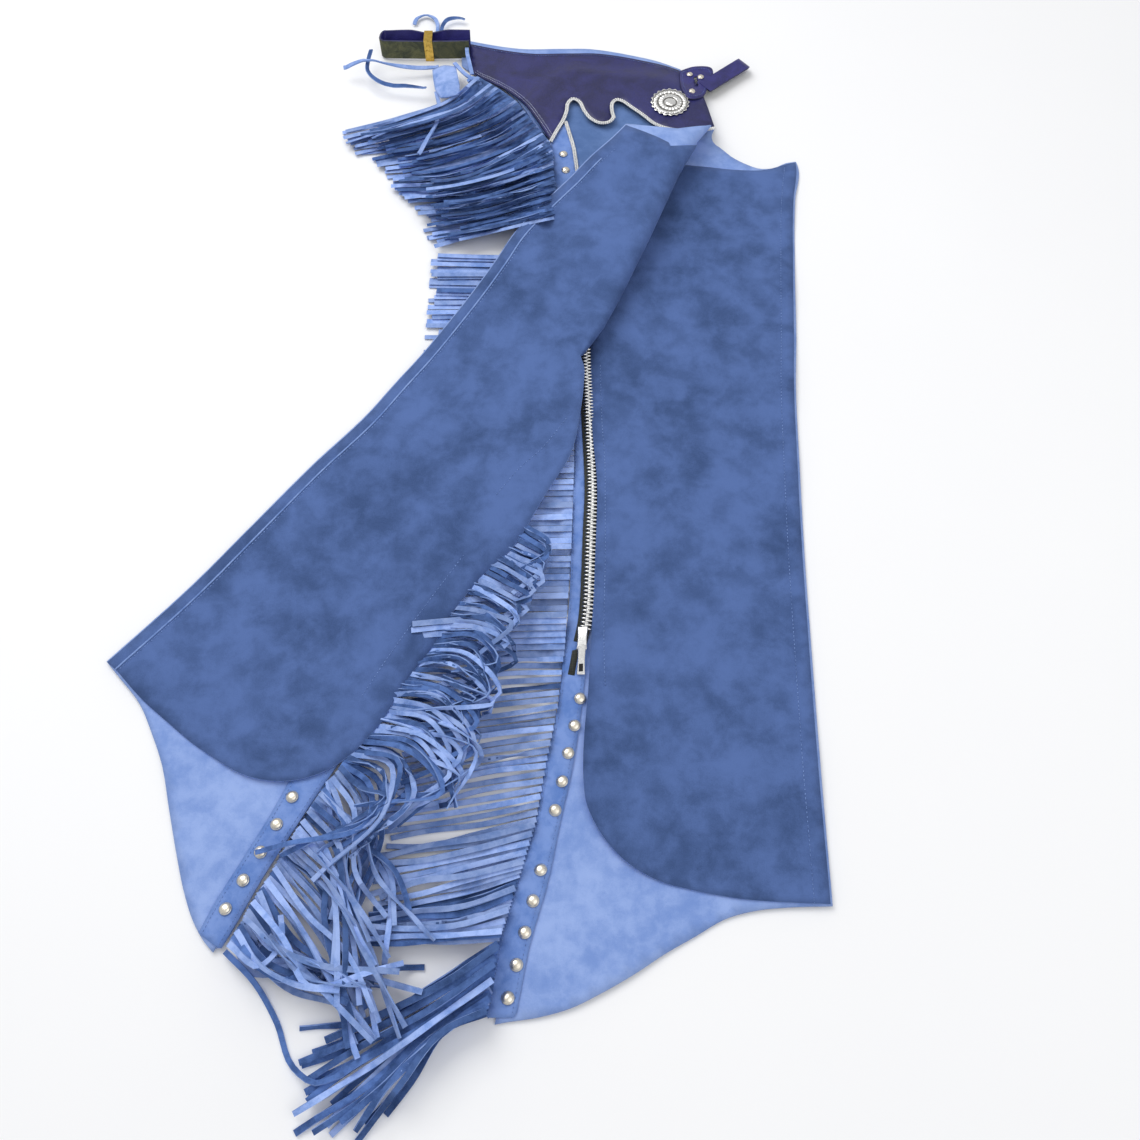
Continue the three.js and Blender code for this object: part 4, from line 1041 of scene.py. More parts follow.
@dataclass
class LegB(Maker):
    """The leg on top, folded over to the left: its back panel is up and a soft roll stands at the fold."""

    wall: float = 1.6
    stations: int = 44
    sides: int = 16
    skew: float = 20.0
    tuck: float = 22.0
    reach: tuple = ((0, 3), (0.05, 7), (0.12, 12), (0.25, 16), (0.5, 20), (0.8, 23), (0.93, 29), (1, 37))

    def __post_init__(self) -> None:
        """Works out the fold's ways."""
        start_, end = np.array(FOLD[0], float), np.array(FOLD[1], float)
        self.start = start_
        self.way = (end - start_) / np.linalg.norm(end - start_)
        self.out = np.array((self.way[1], -self.way[0]))
        self.length = float(np.linalg.norm(end - start_))

    def fold_points(self, last: float) -> Array:
        """Stations along the fold, from its low end to a share of it."""
        count = max(2, round(self.stations * last))
        return self.start + np.linspace(0, last * self.length, count + 1)[:, None] * self.way

    def roll(self, points: Array, low: Array, high: Array, inset: float) -> Array:
        """The half round of the roll.

        Args:
            points: Its stations on the floor.
            low: The field that its low side starts from.
            high: The field that its high side ends on.
            inset: How far it stays inside the measured reach.

        Returns:
            At each station, the points from its low side to its high side.
        """
        share = (points - self.start) @ self.way / self.length
        table = np.array(self.reach)
        reach = np.interp(share, table[:, 0], table[:, 1]) - inset
        z_low, z_high = self.bed.at(low, points), self.bed.at(high, points)
        angles = np.linspace(-math.pi / 2, math.pi / 2, self.sides + 1)
        rows = []
        for i, point in enumerate(points):
            skew = self.skew * max(0.0, (share[i] - 0.75) / 0.25) ** 1.5
            row = []
            for angle in angles:
                bulge = math.cos(angle)
                spot = point + self.out * reach[i] * bulge + self.way * skew * bulge
                middle, half = (z_low[i] + z_high[i]) / 2, (z_high[i] - z_low[i]) / 2
                row.append((spot[0], spot[1], middle + half * math.sin(angle)))
            rows.append(row)
        return towards_eye(np.array(rows))

    def build(self) -> None:
        """Builds both panels and their seams."""
        self.front()
        self.back()
        self.seams()

    def front(self) -> None:
        """The front panel, one sheet: flat under the yoke, round the roll, and back to its hem."""
        b = self.bed
        points = self.fold_points(1.0)
        shape = Shape()
        low_ring = outline(B_LOW_EDGE, B_LOW_TOP)
        low_ring = np.vstack([low_ring, points[::-1]])
        flat, faces = filled(low_ring, 9.0)
        shape.add(on(b, self.layers.b_low, flat), faces)
        under = self.layers.b_high - self.wall
        shape.grid(self.roll(points, self.layers.b_low, under, 3.0))
        high_ring = np.vstack([outline(B_INSEAM, B_FRONT_HEM, B_EDGE[:-1] + [FOLD[0]])[:-1], points])
        flat, faces = filled(high_ring, 9.0)
        shape.add(on(b, under, flat), [tuple(reversed(face)) for face in faces])
        skins = self.shop.skins(Finish.NAP_MID, Finish.FLESH, Finish.RAW_EDGE)
        piece = shape.piece("leg_b_front_suede", b, skins, merge=0.3)
        self.face_up(piece, self.layers.b_low, (60, 1120))
        walled(piece, self.wall)
        keep(piece, "suede_inner", "leg_b_front_panel")

    def back(self) -> None:
        """The back panel: over the front panel, round the outside of the roll and tucked under it."""
        b = self.bed
        points = self.fold_points(B_BACK_FOLD_END)
        outer = self.layers.b_back
        under = self.layers.b_low - self.wall - 0.4
        rows = self.roll(points, under, outer, 0.0)
        tucked = np.stack([on(b, under, points - self.out * d) for d in (self.tuck, self.tuck / 2)], axis=1)
        shape = Shape()
        shape.grid(np.concatenate([tucked, rows], axis=1))
        top = spline([tuple(points[-1]), *B_BACK_TOP], 6)
        ring = np.vstack([points, top[1:-1], outline(B_INSEAM, B_BACK_HEM, B_BACK_EDGE)[:-1]])
        flat, faces = filled(ring, 9.0)
        shape.add(on(b, outer, flat), faces)
        skins = self.shop.skins(Finish.NAP_OUT, Finish.FLESH, Finish.RAW_EDGE)
        piece = shape.piece("leg_b_back_suede", b, skins, merge=0.3)
        self.face_up(piece, outer, (-100, 600))
        walled(piece, self.wall)
        keep(piece, "suede_outer", "leg_b_back_panel")

    def face_up(self, piece: Object, heights: Array, spot: tuple[float, float]) -> None:
        """Makes the faces of a merged sheet run one way.

        Args:
            piece: The sheet.
            heights: The field that it lies on at the spot.
            spot: A place on the floor where its faces look up.
        """
        made = bmesh.new()
        made.from_mesh(piece.data)
        bmesh.ops.recalc_face_normals(made, faces=made.faces)
        here = Vector(self.bed.place(on(self.bed, heights, np.array([spot], float)))[0])
        nearest = min(made.faces, key=lambda f: (f.calc_center_median() - here).length)
        if nearest.normal.z < 0:
            bmesh.ops.reverse_faces(made, faces=made.faces)
        made.to_mesh(piece.data)
        made.free()

    def seams(self) -> None:
        """Sews the lapped inseam and the row beside the back panel's edge."""
        inseam = spline(B_INSEAM, 5)
        lapped = aside(inseam, 13.5)[8:]
        rows = (lapped, spline(B_BACK_SEAM, 5), spline(B_LOWER_SEAM, 5))
        lines = [on(self.bed, self.layers.b_back, line, 0.1) for line in rows]
        self.sewing.sew("leg_b_seams", lines, Finish.THREAD_BLUE, "suede_outer")
        lap = on(self.bed, self.layers.b_back, aside(inseam, 11.0)[12:], 0.35)
        across = np.column_stack([aside(lap, 1.0) - lap[:, :2], np.zeros(len(lap))])
        shape = Shape()
        shape.band(swept(lap, across, 1.5, 0.9), [0, 0, 0, 0])
        piece = shape.piece("leg_b_lap_edge", self.bed, [self.shop[Finish.RAW_EDGE]], outwards=True)
        keep(piece, "suede_outer")


@dataclass
class Yoke(Maker):
    """The waxed yoke with its scalloped, braided edge, its pale sister that peeks out, and the side strip."""

    wall: float = 2.2
    thin: float = 1.4
    under_gap: float = 4.5
    braid: float = 4.4
    braid_pitch: float = 2.3
    stitch_inset: float = 3.0

    def build(self) -> None:
        """Builds the yokes, the strip and the braid."""
        ring = self.layers.yoke_ring
        self.laid("yoke_top_hide", ring, self.layers.yoke,
                  (Finish.YOKE, Finish.STRAP_FLESH, Finish.CUT_COWHIDE), self.wall, "yoke_leather", "yoke_b")
        self.laid("yoke_under_hide", ring + np.array(UNDER_YOKE_SHIFT),
                  np.minimum(self.layers.a_yoke, self.layers.yoke - self.under_gap),
                  (Finish.FLESH, Finish.YOKE, Finish.RAW_EDGE), self.thin, "yoke_leather", "yoke_a", step=9.0)
        self.laid("side_strip_suede", outline(STRIP_RIGHT, STRIP_LEFT, [STRIP_LEFT[-1], STRIP_RIGHT[0]]),
                  self.layers.strip, (Finish.BAND, Finish.FLESH, Finish.RAW_EDGE), self.thin, "suede_outer",
                  "side_strip")
        self.edges()

    def edges(self) -> None:
        """The braid along the scallops and the strip, and the yoke's stitching."""
        tree = braid_tree()
        values = {"Pitch": self.braid_pitch * MM, "Width": self.braid * MM,
                  "Material": self.shop[Finish.BRAID]}
        for name, tables, node in (("yoke_braid", YOKE_SCALLOPS, "yoke_trim"),
                                   ("strip_braid", [STRIP_RIGHT[:-1]], "side_strip_trim")):
            field_ = self.layers.yoke if node == "yoke_trim" else self.layers.strip
            lines = [on(self.bed, field_, spline(rows, 3), 0.9) for rows in tables]
            piece = grown(name, self.bed, lines, tree, values)
            keep(piece, "trim_braid", node)
        back = spline(YOKE_BACK, 4)
        top = spline(YOKE_TOP, 4)
        rows = [aside(back, -2.6), aside(back, -5.6), aside(top, -self.stitch_inset)]
        lines = [on(self.bed, self.layers.yoke, line[2:-2], 0.15) for line in rows]
        self.sewing.sew("yoke_seams", lines[:2], Finish.THREAD_PALE, "yoke_leather", *YOKE_STITCH)
        self.sewing.sew("yoke_top_seam", lines[2:], Finish.THREAD_BLUE, "yoke_leather", *TOP_STITCH)


def braid_tree() -> NodeTree:
    """A tree that plaits a flat braid along a line: two rows of slanting strands that meet in a point."""
    tree, given = group("flat_braid_along_line", "Pitch", "Width")
    spaced, way = spaced_along(tree, given)
    joined = add(tree, "GeometryNodeJoinGeometry")
    for side in (-1, 1):
        across = add(tree, "ShaderNodeVectorMath", {0: way, 1: (0, 0, side)}, operation="CROSS_PRODUCT")
        quarter = add(tree, "ShaderNodeMath", {0: given["Width"], 1: 0.24}, operation="MULTIPLY")
        shift = add(tree, "ShaderNodeVectorMath", {0: across.outputs[0], "Scale": quarter.outputs[0]},
                    operation="SCALE")
        moved = add(tree, "GeometryNodeSetPosition", {0: spaced.outputs[0], "Offset": shift.outputs[0]})
        slant = add(tree, "ShaderNodeVectorMath", {0: across.outputs[0], 1: way}, operation="ADD")
        turn = add(tree, "FunctionNodeAlignRotationToVector", {"Vector": slant.outputs[0]}, axis="X")
        long = add(tree, "ShaderNodeMath", {0: given["Width"], 1: 0.72}, operation="MULTIPLY")
        thick = add(tree, "ShaderNodeMath", {0: given["Width"], 1: 0.42}, operation="MULTIPLY")
        size = add(tree, "ShaderNodeCombineXYZ",
                   {0: long.outputs[0], 1: thick.outputs[0], 2: thick.outputs[0]})
        bead = add(tree, "GeometryNodeMeshUVSphere", {"Segments": 8, "Rings": 5, "Radius": 0.5})
        laid = add(tree, "GeometryNodeInstanceOnPoints",
                   {"Points": moved.outputs[0], "Instance": bead.outputs[0],
                    "Rotation": turn.outputs[0], "Scale": size.outputs[0]})
        tree.links.new(laid.outputs[0], joined.inputs[0])
    return ended(tree, given, joined)


class Heap:
    """How high the strands lie so far, on a fine grid of the floor: each is laid on those before it."""

    STEP = 2.5
    LOW = (-320.0, -20.0)
    SIZE = (160, 500)

    def __init__(self, bed: Bed) -> None:
        """Starts from a bare floor."""
        self.bed = bed
        xs = self.LOW[0] + self.STEP * np.arange(self.SIZE[0])
        ys = self.LOW[1] + self.STEP * np.arange(self.SIZE[1])
        self.spots = np.stack(np.meshgrid(xs, ys, indexing="ij"), axis=-1)
        self.top = np.zeros(self.SIZE)

    def cover(self, heights: Array, ring: Array) -> None:
        """Raises the heap to a sheet that fills an outline."""
        flat = self.spots.reshape(-1, 2)
        inside = within(flat, ring)
        level = np.where(inside, self.bed.at(heights, flat), 0.0).reshape(self.SIZE)
        self.top = np.maximum(self.top, level)

    def cells(self, points: Array) -> tuple[Array, Array]:
        """The grid cells of rows of floor points."""
        i = np.clip(((points[..., 0] - self.LOW[0]) / self.STEP).round().astype(int), 0, self.SIZE[0] - 1)
        j = np.clip(((points[..., 1] - self.LOW[1]) / self.STEP).round().astype(int), 0, self.SIZE[1] - 1)
        return i, j


@dataclass
class Strand:
    """One cut strand of suede: its line on the floor, how it turns, and how high it arches."""

    line: Array
    turn: Array
    arch: Array
    width: float
    flesh_up: bool
    tone: float


@dataclass
class Fringe:
    """A run of strands combed between guide lines, each a row of places from root to tip."""

    name: str
    guides: Sequence[Points]
    count: int
    flesh_up: bool
    slot: str
    nodes: tuple[str, ...]
    width: float = 5.0
    spread: float = 3.0  # mm that a strand strays sideways at its tip
    ragged: float = 0.06  # share by which lengths differ
    curl: float = 22.0  # degrees that a strand turns on its side
    arch: float = 0.0  # mm that it rises near its root
    arch_at: float = 0.18
    reach: float = 1.0  # share of the guides' length
    flips: float = 0.08  # share of strands that lie the other face up
    step: float = 7.0

    def strands(self, rng: np.random.Generator) -> list[Strand]:
        """Combs the strands between the guides.

        Args:
            rng: Gives what varies from strand to strand.

        Returns:
            The strands, in the order that they are laid in.
        """
        guides = np.array([np.asarray(rows, float) for rows in self.guides])
        at = np.linspace(0, len(guides) - 1, self.count)
        made = []
        for place in at:
            low = min(int(place), len(guides) - 2)
            share = place - low
            rows = guides[low] * (1 - share) + guides[low + 1] * share
            stray = rng.normal(0, self.spread, (len(rows), 2)) * np.linspace(0, 1, len(rows))[:, None]
            line = spline(rows + stray, self.step)
            part = self.reach * (1 + rng.normal(0, self.ragged))
            count = max(6, int(len(line) * min(part, 1.15)))
            if count > len(line):
                ahead = (line[-1] - line[-2]) * np.arange(1, count - len(line) + 1)[:, None]
                line = np.vstack([line, line[-1] + ahead])
            line = line[:count]
            s = shares(line)
            wave = rng.uniform(0.6, 2.0)
            phase = rng.uniform(0, math.tau)
            turn = np.radians(self.curl) * rng.normal(0, 0.8) * np.sin(wave * math.tau * s + phase)
            turn *= np.minimum(1, 5 * s)
            arch = self.arch * rng.uniform(0.6, 1.25)
            arch = arch * np.exp(-((s - self.arch_at) / (0.55 * self.arch_at + 0.02)) ** 2)
            other = rng.random() < self.flips
            made.append(Strand(line, turn, arch * np.minimum(1, 12 * s), self.width * rng.uniform(0.9, 1.06),
                               self.flesh_up != other, rng.uniform(0.1, 0.9)))
        rng.shuffle(made)
        return made


@dataclass
class Fringing(Maker):
    """Lays every fringe in order, from the floor up, and makes each fringe one piece."""

    WALL = 1.3
    BAND_WALL = 1.5
    GAP = 0.35  # mm between a strand and what it lies on
    UNDER = 2.6  # mm from a tucked strand's middle to the panel's upper face
    MOST = 30.0  # mm, the highest that a heap may grow

    def __post_init__(self) -> None:
        """Lays the leather's layers under the heap."""
        self.rng = np.random.default_rng(SEED)
        self.roof: tuple[Array, Array] | None = None
        self.heap = Heap(self.bed)
        self.heap.cover(self.layers.a_front, self.layers.a_ring)
        self.heap.cover(self.layers.b_low, self.layers.low_ring)

    def tucked(self, strand: Strand) -> Strand | None:
        """Cuts off what lies out of sight under the back panel, but for a short tuck."""
        if self.roof is None:
            return strand
        hidden = within(strand.line, self.roof[1])
        seen = np.nonzero(~hidden)[0]
        if len(seen) < 4:
            return None
        cut = slice(max(0, seen[0] - 1), min(len(hidden), seen[-1] + 2))
        return Strand(strand.line[cut], strand.turn[cut], strand.arch[cut], strand.width, strand.flesh_up,
                      strand.tone)

    def lay(self, strand: Strand, shape: Shape) -> None:
        """Lays one strand on the heap and adds its ribbon."""
        strand = self.tucked(strand)
        if strand is None:
            return
        line = strand.line
        way = np.gradient(line, axis=0)
        way /= np.maximum(np.linalg.norm(way, axis=1), 1e-9)[:, None]
        side = np.stack([-way[:, 1], way[:, 0]], axis=1)
        half = strand.width / 2 * np.interp(shares(line), [0, 0.04, 1], [1, 1, 0.9])
        across = np.array([-1, -0.5, 0, 0.5, 1])
        reach = half[:, None] * np.cos(strand.turn)[:, None] * across
        spots = line[:, None, :] + side[:, None, :] * reach[..., None]
        i, j = self.heap.cells(spots)
        under = self.heap.top[i, j].max(axis=1)
        under = np.maximum(under, np.r_[under[1:], under[-1]])
        under = np.maximum(under, np.r_[under[0], under[:-1]])
        for _ in range(2):
            soft = (np.r_[under[:1], under[:-1]] + 2 * under + np.r_[under[1:], under[-1:]]) / 4
            under = np.maximum(under, soft)
        rise = np.minimum(under, self.MOST) + self.GAP
        middle = rise + self.WALL / 2 + half * np.abs(np.sin(strand.turn)) + strand.arch
        if self.roof is not None:
            lid = self.bed.at(self.roof[0], line) - self.UNDER
            inside = within(line, self.roof[1])
            gap = np.array([np.min(np.hypot(*(self.roof[1] - p).T)) for p in line])
            most = np.where(inside, lid, lid + 0.9 * gap)
            middle = np.minimum(middle, np.maximum(most, 1.2))
        lean, up = np.cos(strand.turn), np.sin(strand.turn)
        flat = np.column_stack([side * lean[:, None], up])
        normal = np.column_stack([-side * up[:, None], lean])
        centre = np.column_stack([line, middle])
        wide, thick = flat * half[:, None], normal * (self.WALL / 2)
        top, base = (1, 0) if strand.flesh_up else (0, 1)
        shape.band(towards_eye(corners_of(centre, wide, thick)), [base, 2, top, 2], strand.tone)
        dense = np.linspace(0, len(line) - 1, len(line) * 4)
        fine = np.stack([np.interp(dense, np.arange(len(line)), column)
                         for column in spots.reshape(len(line), -1).T], axis=1).reshape(len(dense), 5, 2)
        peak = np.interp(dense, np.arange(len(line)), middle - strand.arch * 0.4 + self.WALL / 2)
        i, j = self.heap.cells(fine)
        np.maximum.at(self.heap.top, (i, j), np.repeat(peak[:, None], 5, axis=1))

    def comb(self, fringe: Fringe, shape: Shape | None = None) -> Shape:
        """Lays a fringe's strands, into a shape that may hold others."""
        shape = shape or Shape()
        for strand in fringe.strands(self.rng):
            self.lay(strand, shape)
        return shape

    def finish_piece(self, shape: Shape, fringe: Fringe) -> None:
        """Turns laid strands into a piece."""
        skins = self.shop.skins(Finish.STRAND_NAP, Finish.STRAND_FLESH, Finish.RAW_EDGE)
        piece = shape.piece(fringe.name, self.bed, skins, smooth=50, outwards=True)
        keep(piece, fringe.slot, *fringe.nodes)

    def band(self, name: str, left: Array, right: Array, heights: Array,
             lift: float) -> Array:
        """The uncut head of a fringe, sewn down both sides.

        Args:
            name: The piece's name.
            left: The line along its cut roots.
            right: The line along its outer edge, in the same order.
            heights: The field that it lies on.
            lift: How far its top stands over that field.

        Returns:
            Its outline.
        """
        ring = np.vstack([left, right[::-1]])
        self.laid(name, evenly(np.vstack([ring, ring[:1]]), 5)[:-1], heights,
                  (Finish.BAND, Finish.STRAND_NAP, Finish.RAW_EDGE), self.BAND_WALL, "fringe_suede",
                  lift=lift)
        middle = (left + right) / 2
        lines = [on(self.bed, heights, line, lift + 0.1)
                 for line in ((3 * left + middle) / 4, (3 * right + middle) / 4)]
        self.sewing.sew(name + "_seams", lines, Finish.THREAD_BLUE, "fringe_suede", *BAND_STITCH)
        self.heap.cover(heights + lift, ring)
        return ring

    def build(self) -> None:
        """Lays every fringe."""
        a_left = spline(A_ROOTS, 8)
        a_right = matched(a_left, spline(A_BAND_RIGHT, 8))
        self.band("leg_a_fringe_band", a_left, a_right, self.layers.a_front, 1.9)
        for fringe in A_FRINGES:
            self.finish_piece(self.comb(fringe), fringe)
        pale, dark = HIP_FRINGES
        shape = self.comb(pale)
        self.heap.cover(self.layers.strip,
                        outline(STRIP_RIGHT, STRIP_LEFT, [STRIP_LEFT[-1], STRIP_RIGHT[0]]))
        self.finish_piece(self.comb(dark, shape), dark)
        self.heap.cover(self.layers.b_high, self.layers.high_ring)
        b_left = spline(B_BAND_LEFT, 8)
        b_right = matched(b_left, spline(B_ROOTS, 8))
        self.band("leg_b_fringe_band", b_left, b_right, self.layers.b_high, 1.7)
        self.roof = (self.layers.b_back, outline(B_INSEAM, B_BACK_HEM, B_BACK_EDGE, FOLD))
        for runs in B_FRINGES:
            shape = Shape()
            for fringe in runs:
                shape = self.comb(fringe, shape)
            if runs is B_FRINGES[0]:
                line = spline(THONG, 7.0)
                turn = 0.5 * np.sin(np.arange(len(line)) / 4)
                self.lay(Strand(line, turn, np.zeros(len(line)), 4.6, False, 0.7), shape)
            self.finish_piece(shape, runs[-1])


A_ROOTS = [
    (-14, 966), (2, 800), (6, 700), (4, 600), (1, 500), (-1, 450), (-6, 400), (-11, 350), (-21, 300),
    (-29, 250), (-45, 200), (-58, 150), (-66, 97)]
A_BAND_RIGHT = [
    (-2, 966), (14, 800), (19, 700), (17, 600), (15, 500), (14, 450), (15, 400), (10, 350), (3, 300),
    (-8, 250), (-18, 200), (-32, 150), (-42, 97)]
B_ROOTS = [
    (-40, 560), (-85, 490), (-140, 400), (-207, 283), (-228, 245), (-252, 200), (-268, 165), (-277, 147)]
B_BAND_LEFT = [
    (-66, 575), (-110, 505), (-170, 405), (-236, 288), (-252, 252), (-272, 212), (-288, 180), (-296, 160)]
A_FRINGES = [
    Fringe("leg_a_fringe_upper", [
        [(2, 866), (-40, 866), (-95, 866), (-150, 868)], [(2, 800), (-40, 800), (-95, 801), (-150, 801)],
        [(5, 700), (-45, 700), (-100, 699), (-150, 700)], [(4, 600), (-45, 598), (-100, 594), (-148, 590)],
        [(1, 500), (-50, 499), (-100, 496), (-148, 492)], [(-5, 402), (-55, 400), (-110, 396), (-150, 392)],
    ], 78, True, "fringe_suede", ("leg_a_fringe_5", "leg_a_fringe_4"), 6.2, 0.9, 0.02, 8.0, flips=0.02),
    Fringe("leg_a_fringe_middle", [
        [(-6, 396), (-60, 395), (-110, 390), (-150, 386)],
        [(-11, 350), (-65, 342), (-115, 335), (-150, 328)],
        [(-20, 301), (-70, 294), (-115, 284), (-155, 273)],
        [(-28, 252), (-75, 241), (-120, 234), (-160, 228)],
        [(-36, 224), (-85, 212), (-125, 203), (-163, 193)],
        [(-44, 197), (-85, 183), (-125, 176), (-160, 171)],
        [(-50, 176), (-90, 164), (-130, 163), (-165, 164)],
        [(-56, 156), (-99, 154), (-135, 153), (-168, 150)],
    ], 52, True, "fringe_suede", ("leg_a_fringe_3", "leg_a_fringe_2"), 5.1, 2.6, 0.05, 34.0, flips=0.14),
    Fringe("leg_a_fringe_lowest", [
        [(-57, 152), (-98, 127), (-150, 98), (-200, 82)], [(-59, 142), (-107, 112), (-160, 85), (-208, 66)],
        [(-60, 132), (-115, 92), (-165, 62), (-200, 42)], [(-61, 120), (-112, 88), (-160, 50), (-195, 24)],
        [(-63, 110), (-100, 88), (-150, 44), (-186, 10)], [(-65, 100), (-96, 86), (-118, 52), (-146, 12)],
    ], 24, False, "fringe_suede", ("leg_a_fringe_1",), 5.6, 3.5, 0.06, 40.0, flips=0.12),
]
HIP_GUIDES = [
    [(-109, 1148), (-138, 1112), (-200, 1078), (-266, 1056)],
    [(-84, 1128), (-118, 1093), (-186, 1063), (-259, 1034)],
    [(-62, 1106), (-96, 1078), (-164, 1044), (-240, 1022)],
    [(-49, 1083), (-80, 1052), (-144, 1022), (-220, 1003)],
    [(-35, 1059), (-61, 1037), (-125, 1001), (-208, 988)],
    [(-24, 1041), (-53, 1018), (-114, 984), (-202, 970)],
    [(-20, 1022), (-52, 1001), (-119, 972), (-192, 958)],
    [(-19, 1001), (-52, 984), (-113, 958), (-181, 947)], [(-17, 979), (-52, 963), (-102, 945), (-170, 936)],
    [(-16, 962), (-44, 951), (-92, 931), (-161, 918)], [(-15, 942), (-46, 931), (-88, 914), (-157, 897)],
    [(-12, 924), (-48, 913), (-88, 902), (-150, 882)]]
HIP_FRINGES = [
    Fringe("hip_fringe_pale", HIP_GUIDES, 46, True, "fringe_suede", (), 6.0, 2.2, 0.02, 14.0, flips=0.05),
    Fringe("hip_fringe_strands", HIP_GUIDES, 74, False, "fringe_suede", ("hip_fringe",), 4.8, 4.0, 0.07, 55.0,
           13.0, 0.13, 0.84, flips=0.16),
]
B_FRINGES = [
    [Fringe("leg_b_fringe_sweep", [
        [(-192, 300), (-166, 284), (-160, 240), (-172, 190)],
        [(-198, 293), (-176, 262), (-176, 220), (-184, 176)],
        [(-205, 284), (-193, 245), (-190, 207), (-194, 170)],
        [(-215, 267), (-168, 239), (-144, 212), (-112, 168)],
        [(-222, 253), (-205, 223), (-196, 183), (-186, 92)],
        [(-230, 237), (-189, 201), (-162, 157), (-140, 125)],
        [(-237, 223), (-202, 191), (-172, 155), (-150, 103)],
        [(-244, 207), (-210, 170), (-180, 132), (-161, 94)],
        [(-250, 196), (-219, 157), (-192, 125), (-167, 75)],
        [(-257, 183), (-229, 152), (-201, 132), (-140, 130)],
        [(-262, 170), (-241, 145), (-214, 130), (-143, 123)],
        [(-267, 160), (-245, 130), (-218, 120), (-190, 110)],
        [(-271, 152), (-246, 137), (-226, 150), (-227, 178)],
    ], 62, True, "fringe_suede", ("leg_b_fringe_1",), 5.0, 8.0, 0.12, 60.0, 5.0, 0.3, flips=0.42)],
    [Fringe("leg_b_fringe_curls_flat", [
        [(-60, 545), (-40, 530), (-18, 512), (-30, 500)], [(-80, 520), (-50, 505), (-25, 490), (-38, 478)],
        [(-95, 500), (-58, 480), (-35, 462), (-52, 450)], [(-115, 470), (-75, 452), (-48, 430), (-68, 416)],
    ], 26, False, "fringe_suede", (), 5.0, 3.0, 0.1, 62.0, 7.0, 0.62, flips=0.4),
     Fringe("leg_b_fringe_loops", [
        [(-113, 452), (-72, 444), (-50, 424), (-78, 404)], [(-123, 429), (-75, 426), (-54, 405), (-86, 387)],
        [(-137, 409), (-88, 406), (-63, 375), (-100, 356)],
        [(-147, 393), (-96, 393), (-71, 362), (-112, 350)],
        [(-155, 378), (-112, 372), (-79, 344), (-120, 335)],
        [(-163, 365), (-112, 356), (-86, 326), (-124, 305)],
        [(-171, 353), (-122, 344), (-86, 311), (-127, 285)],
        [(-176, 341), (-126, 329), (-95, 297), (-119, 255)],
        [(-186, 326), (-136, 311), (-99, 274), (-146, 272)],
        [(-190, 311), (-150, 300), (-146, 272), (-192, 216)],
        [(-196, 297), (-168, 280), (-165, 262), (-235, 228)],
    ], 62, False, "fringe_suede", ("leg_b_fringe_2",), 4.8, 9.0, 0.2, 78.0, 9.0, 0.6, flips=0.5)],
]
THONG = [(-273, 146), (-247, 123), (-226, 94), (-209, 61), (-193, 51), (-171, 57)]


STRAP_AT = {"near": 1178.4, "far": 1189.8, "left": -219.5, "right": -119.8, "low": 2.2, "high": 26.0}
STRAP_HOLES = [(-150, 13.0), (-186, 13.0), (-207, 13.0)]
FRONT_STRAP_AT = {"root": (159.7, 1129.8), "turn": 40.0, "length": 61.0, "width": 19.0, "low": 4.1,
                  "high": 11.0}
FRONT_TAB = [
    (131, 1158), (150, 1166), (170, 1163), (171, 1150), (164, 1132), (156, 1114), (141, 1111), (134, 1124)]
TAB_SLOT = [(147, 1148), (152, 1149), (153, 1133), (148, 1132)]
YOKE_CORNER = (-119.9, 1205.1)
LACES = {
    "lace_bow": [(-41, -13.5), (-41, 14), (-42, 28), (-48, 42), (-58, 48), (-68, 42), (-71, 32)],
    "lace_dark": [(-36, -13.5), (-36, 10), (-35, 26), (-30, 36), (-20, 39), (-9, 37)],
    "lace_long": [(-116, -36), (-118, -54), (-117, -72), (-108, -83), (-92, -89), (-70, -92), (-48, -94)],
    "lace_left": [(-36, -52), (-60, -56), (-92, -58), (-117, -60), (-134, -61), (-147, -62)],
    "lace_hang": [(-36, -100), (-32, -120), (-31, -145), (-34, -168), (-42, -188), (-50, -203)],
}
WRAPS = [
    [(-125.5, 1209, 10), (-124.5, 1190, 21), (-121, 1172, 21), (-117, 1152, 17)],
    [(-139, 1172, 17), (-131, 1160, 19), (-123, 1150, 19), (-115, 1143, 17)],
    [(-121, 1149, 18.5), (-116, 1143, 20.5), (-110, 1144, 19.5), (-109, 1138, 17.5)],
    [(-122, 1140, 18), (-116, 1146, 21), (-110, 1141, 21), (-106, 1133, 17)]]
FLAP = [
    [(-137, 1166, 17), (-152, 1168, 16), (-165, 1160, 14)],
    [(-134, 1150, 20), (-150, 1150, 17), (-163, 1143, 14)],
    [(-131, 1134, 21), (-148, 1131, 22), (-160, 1126, 17)],
    [(-130, 1118, 20), (-143, 1114, 21), (-153, 1112, 17)]]


def corners_of(centre: Array, wide: Array, thick: Array) -> Array:
    """The four corners of a band's section at each point of its centre line."""
    return np.stack([centre - wide - thick, centre + wide - thick,
                     centre + wide + thick, centre - wide + thick], axis=1)


def swept(path: Array, across: Array, width: float, wall: float) -> Array:
    """A flat band along a path.

    Args:
        path: Its centre line, in three dimensions.
        across: At each point, the unit way of its width.
        width: Its width.
        wall: Its thickness.

    Returns:
        At each point, the four corners of its section.
    """
    way = np.gradient(path, axis=0)
    way /= np.linalg.norm(way, axis=1)[:, None]
    normal = np.cross(way, across)
    normal /= np.linalg.norm(normal, axis=1)[:, None]
    wide, thick = across * width / 2, normal * wall / 2
    return corners_of(path, wide, thick)


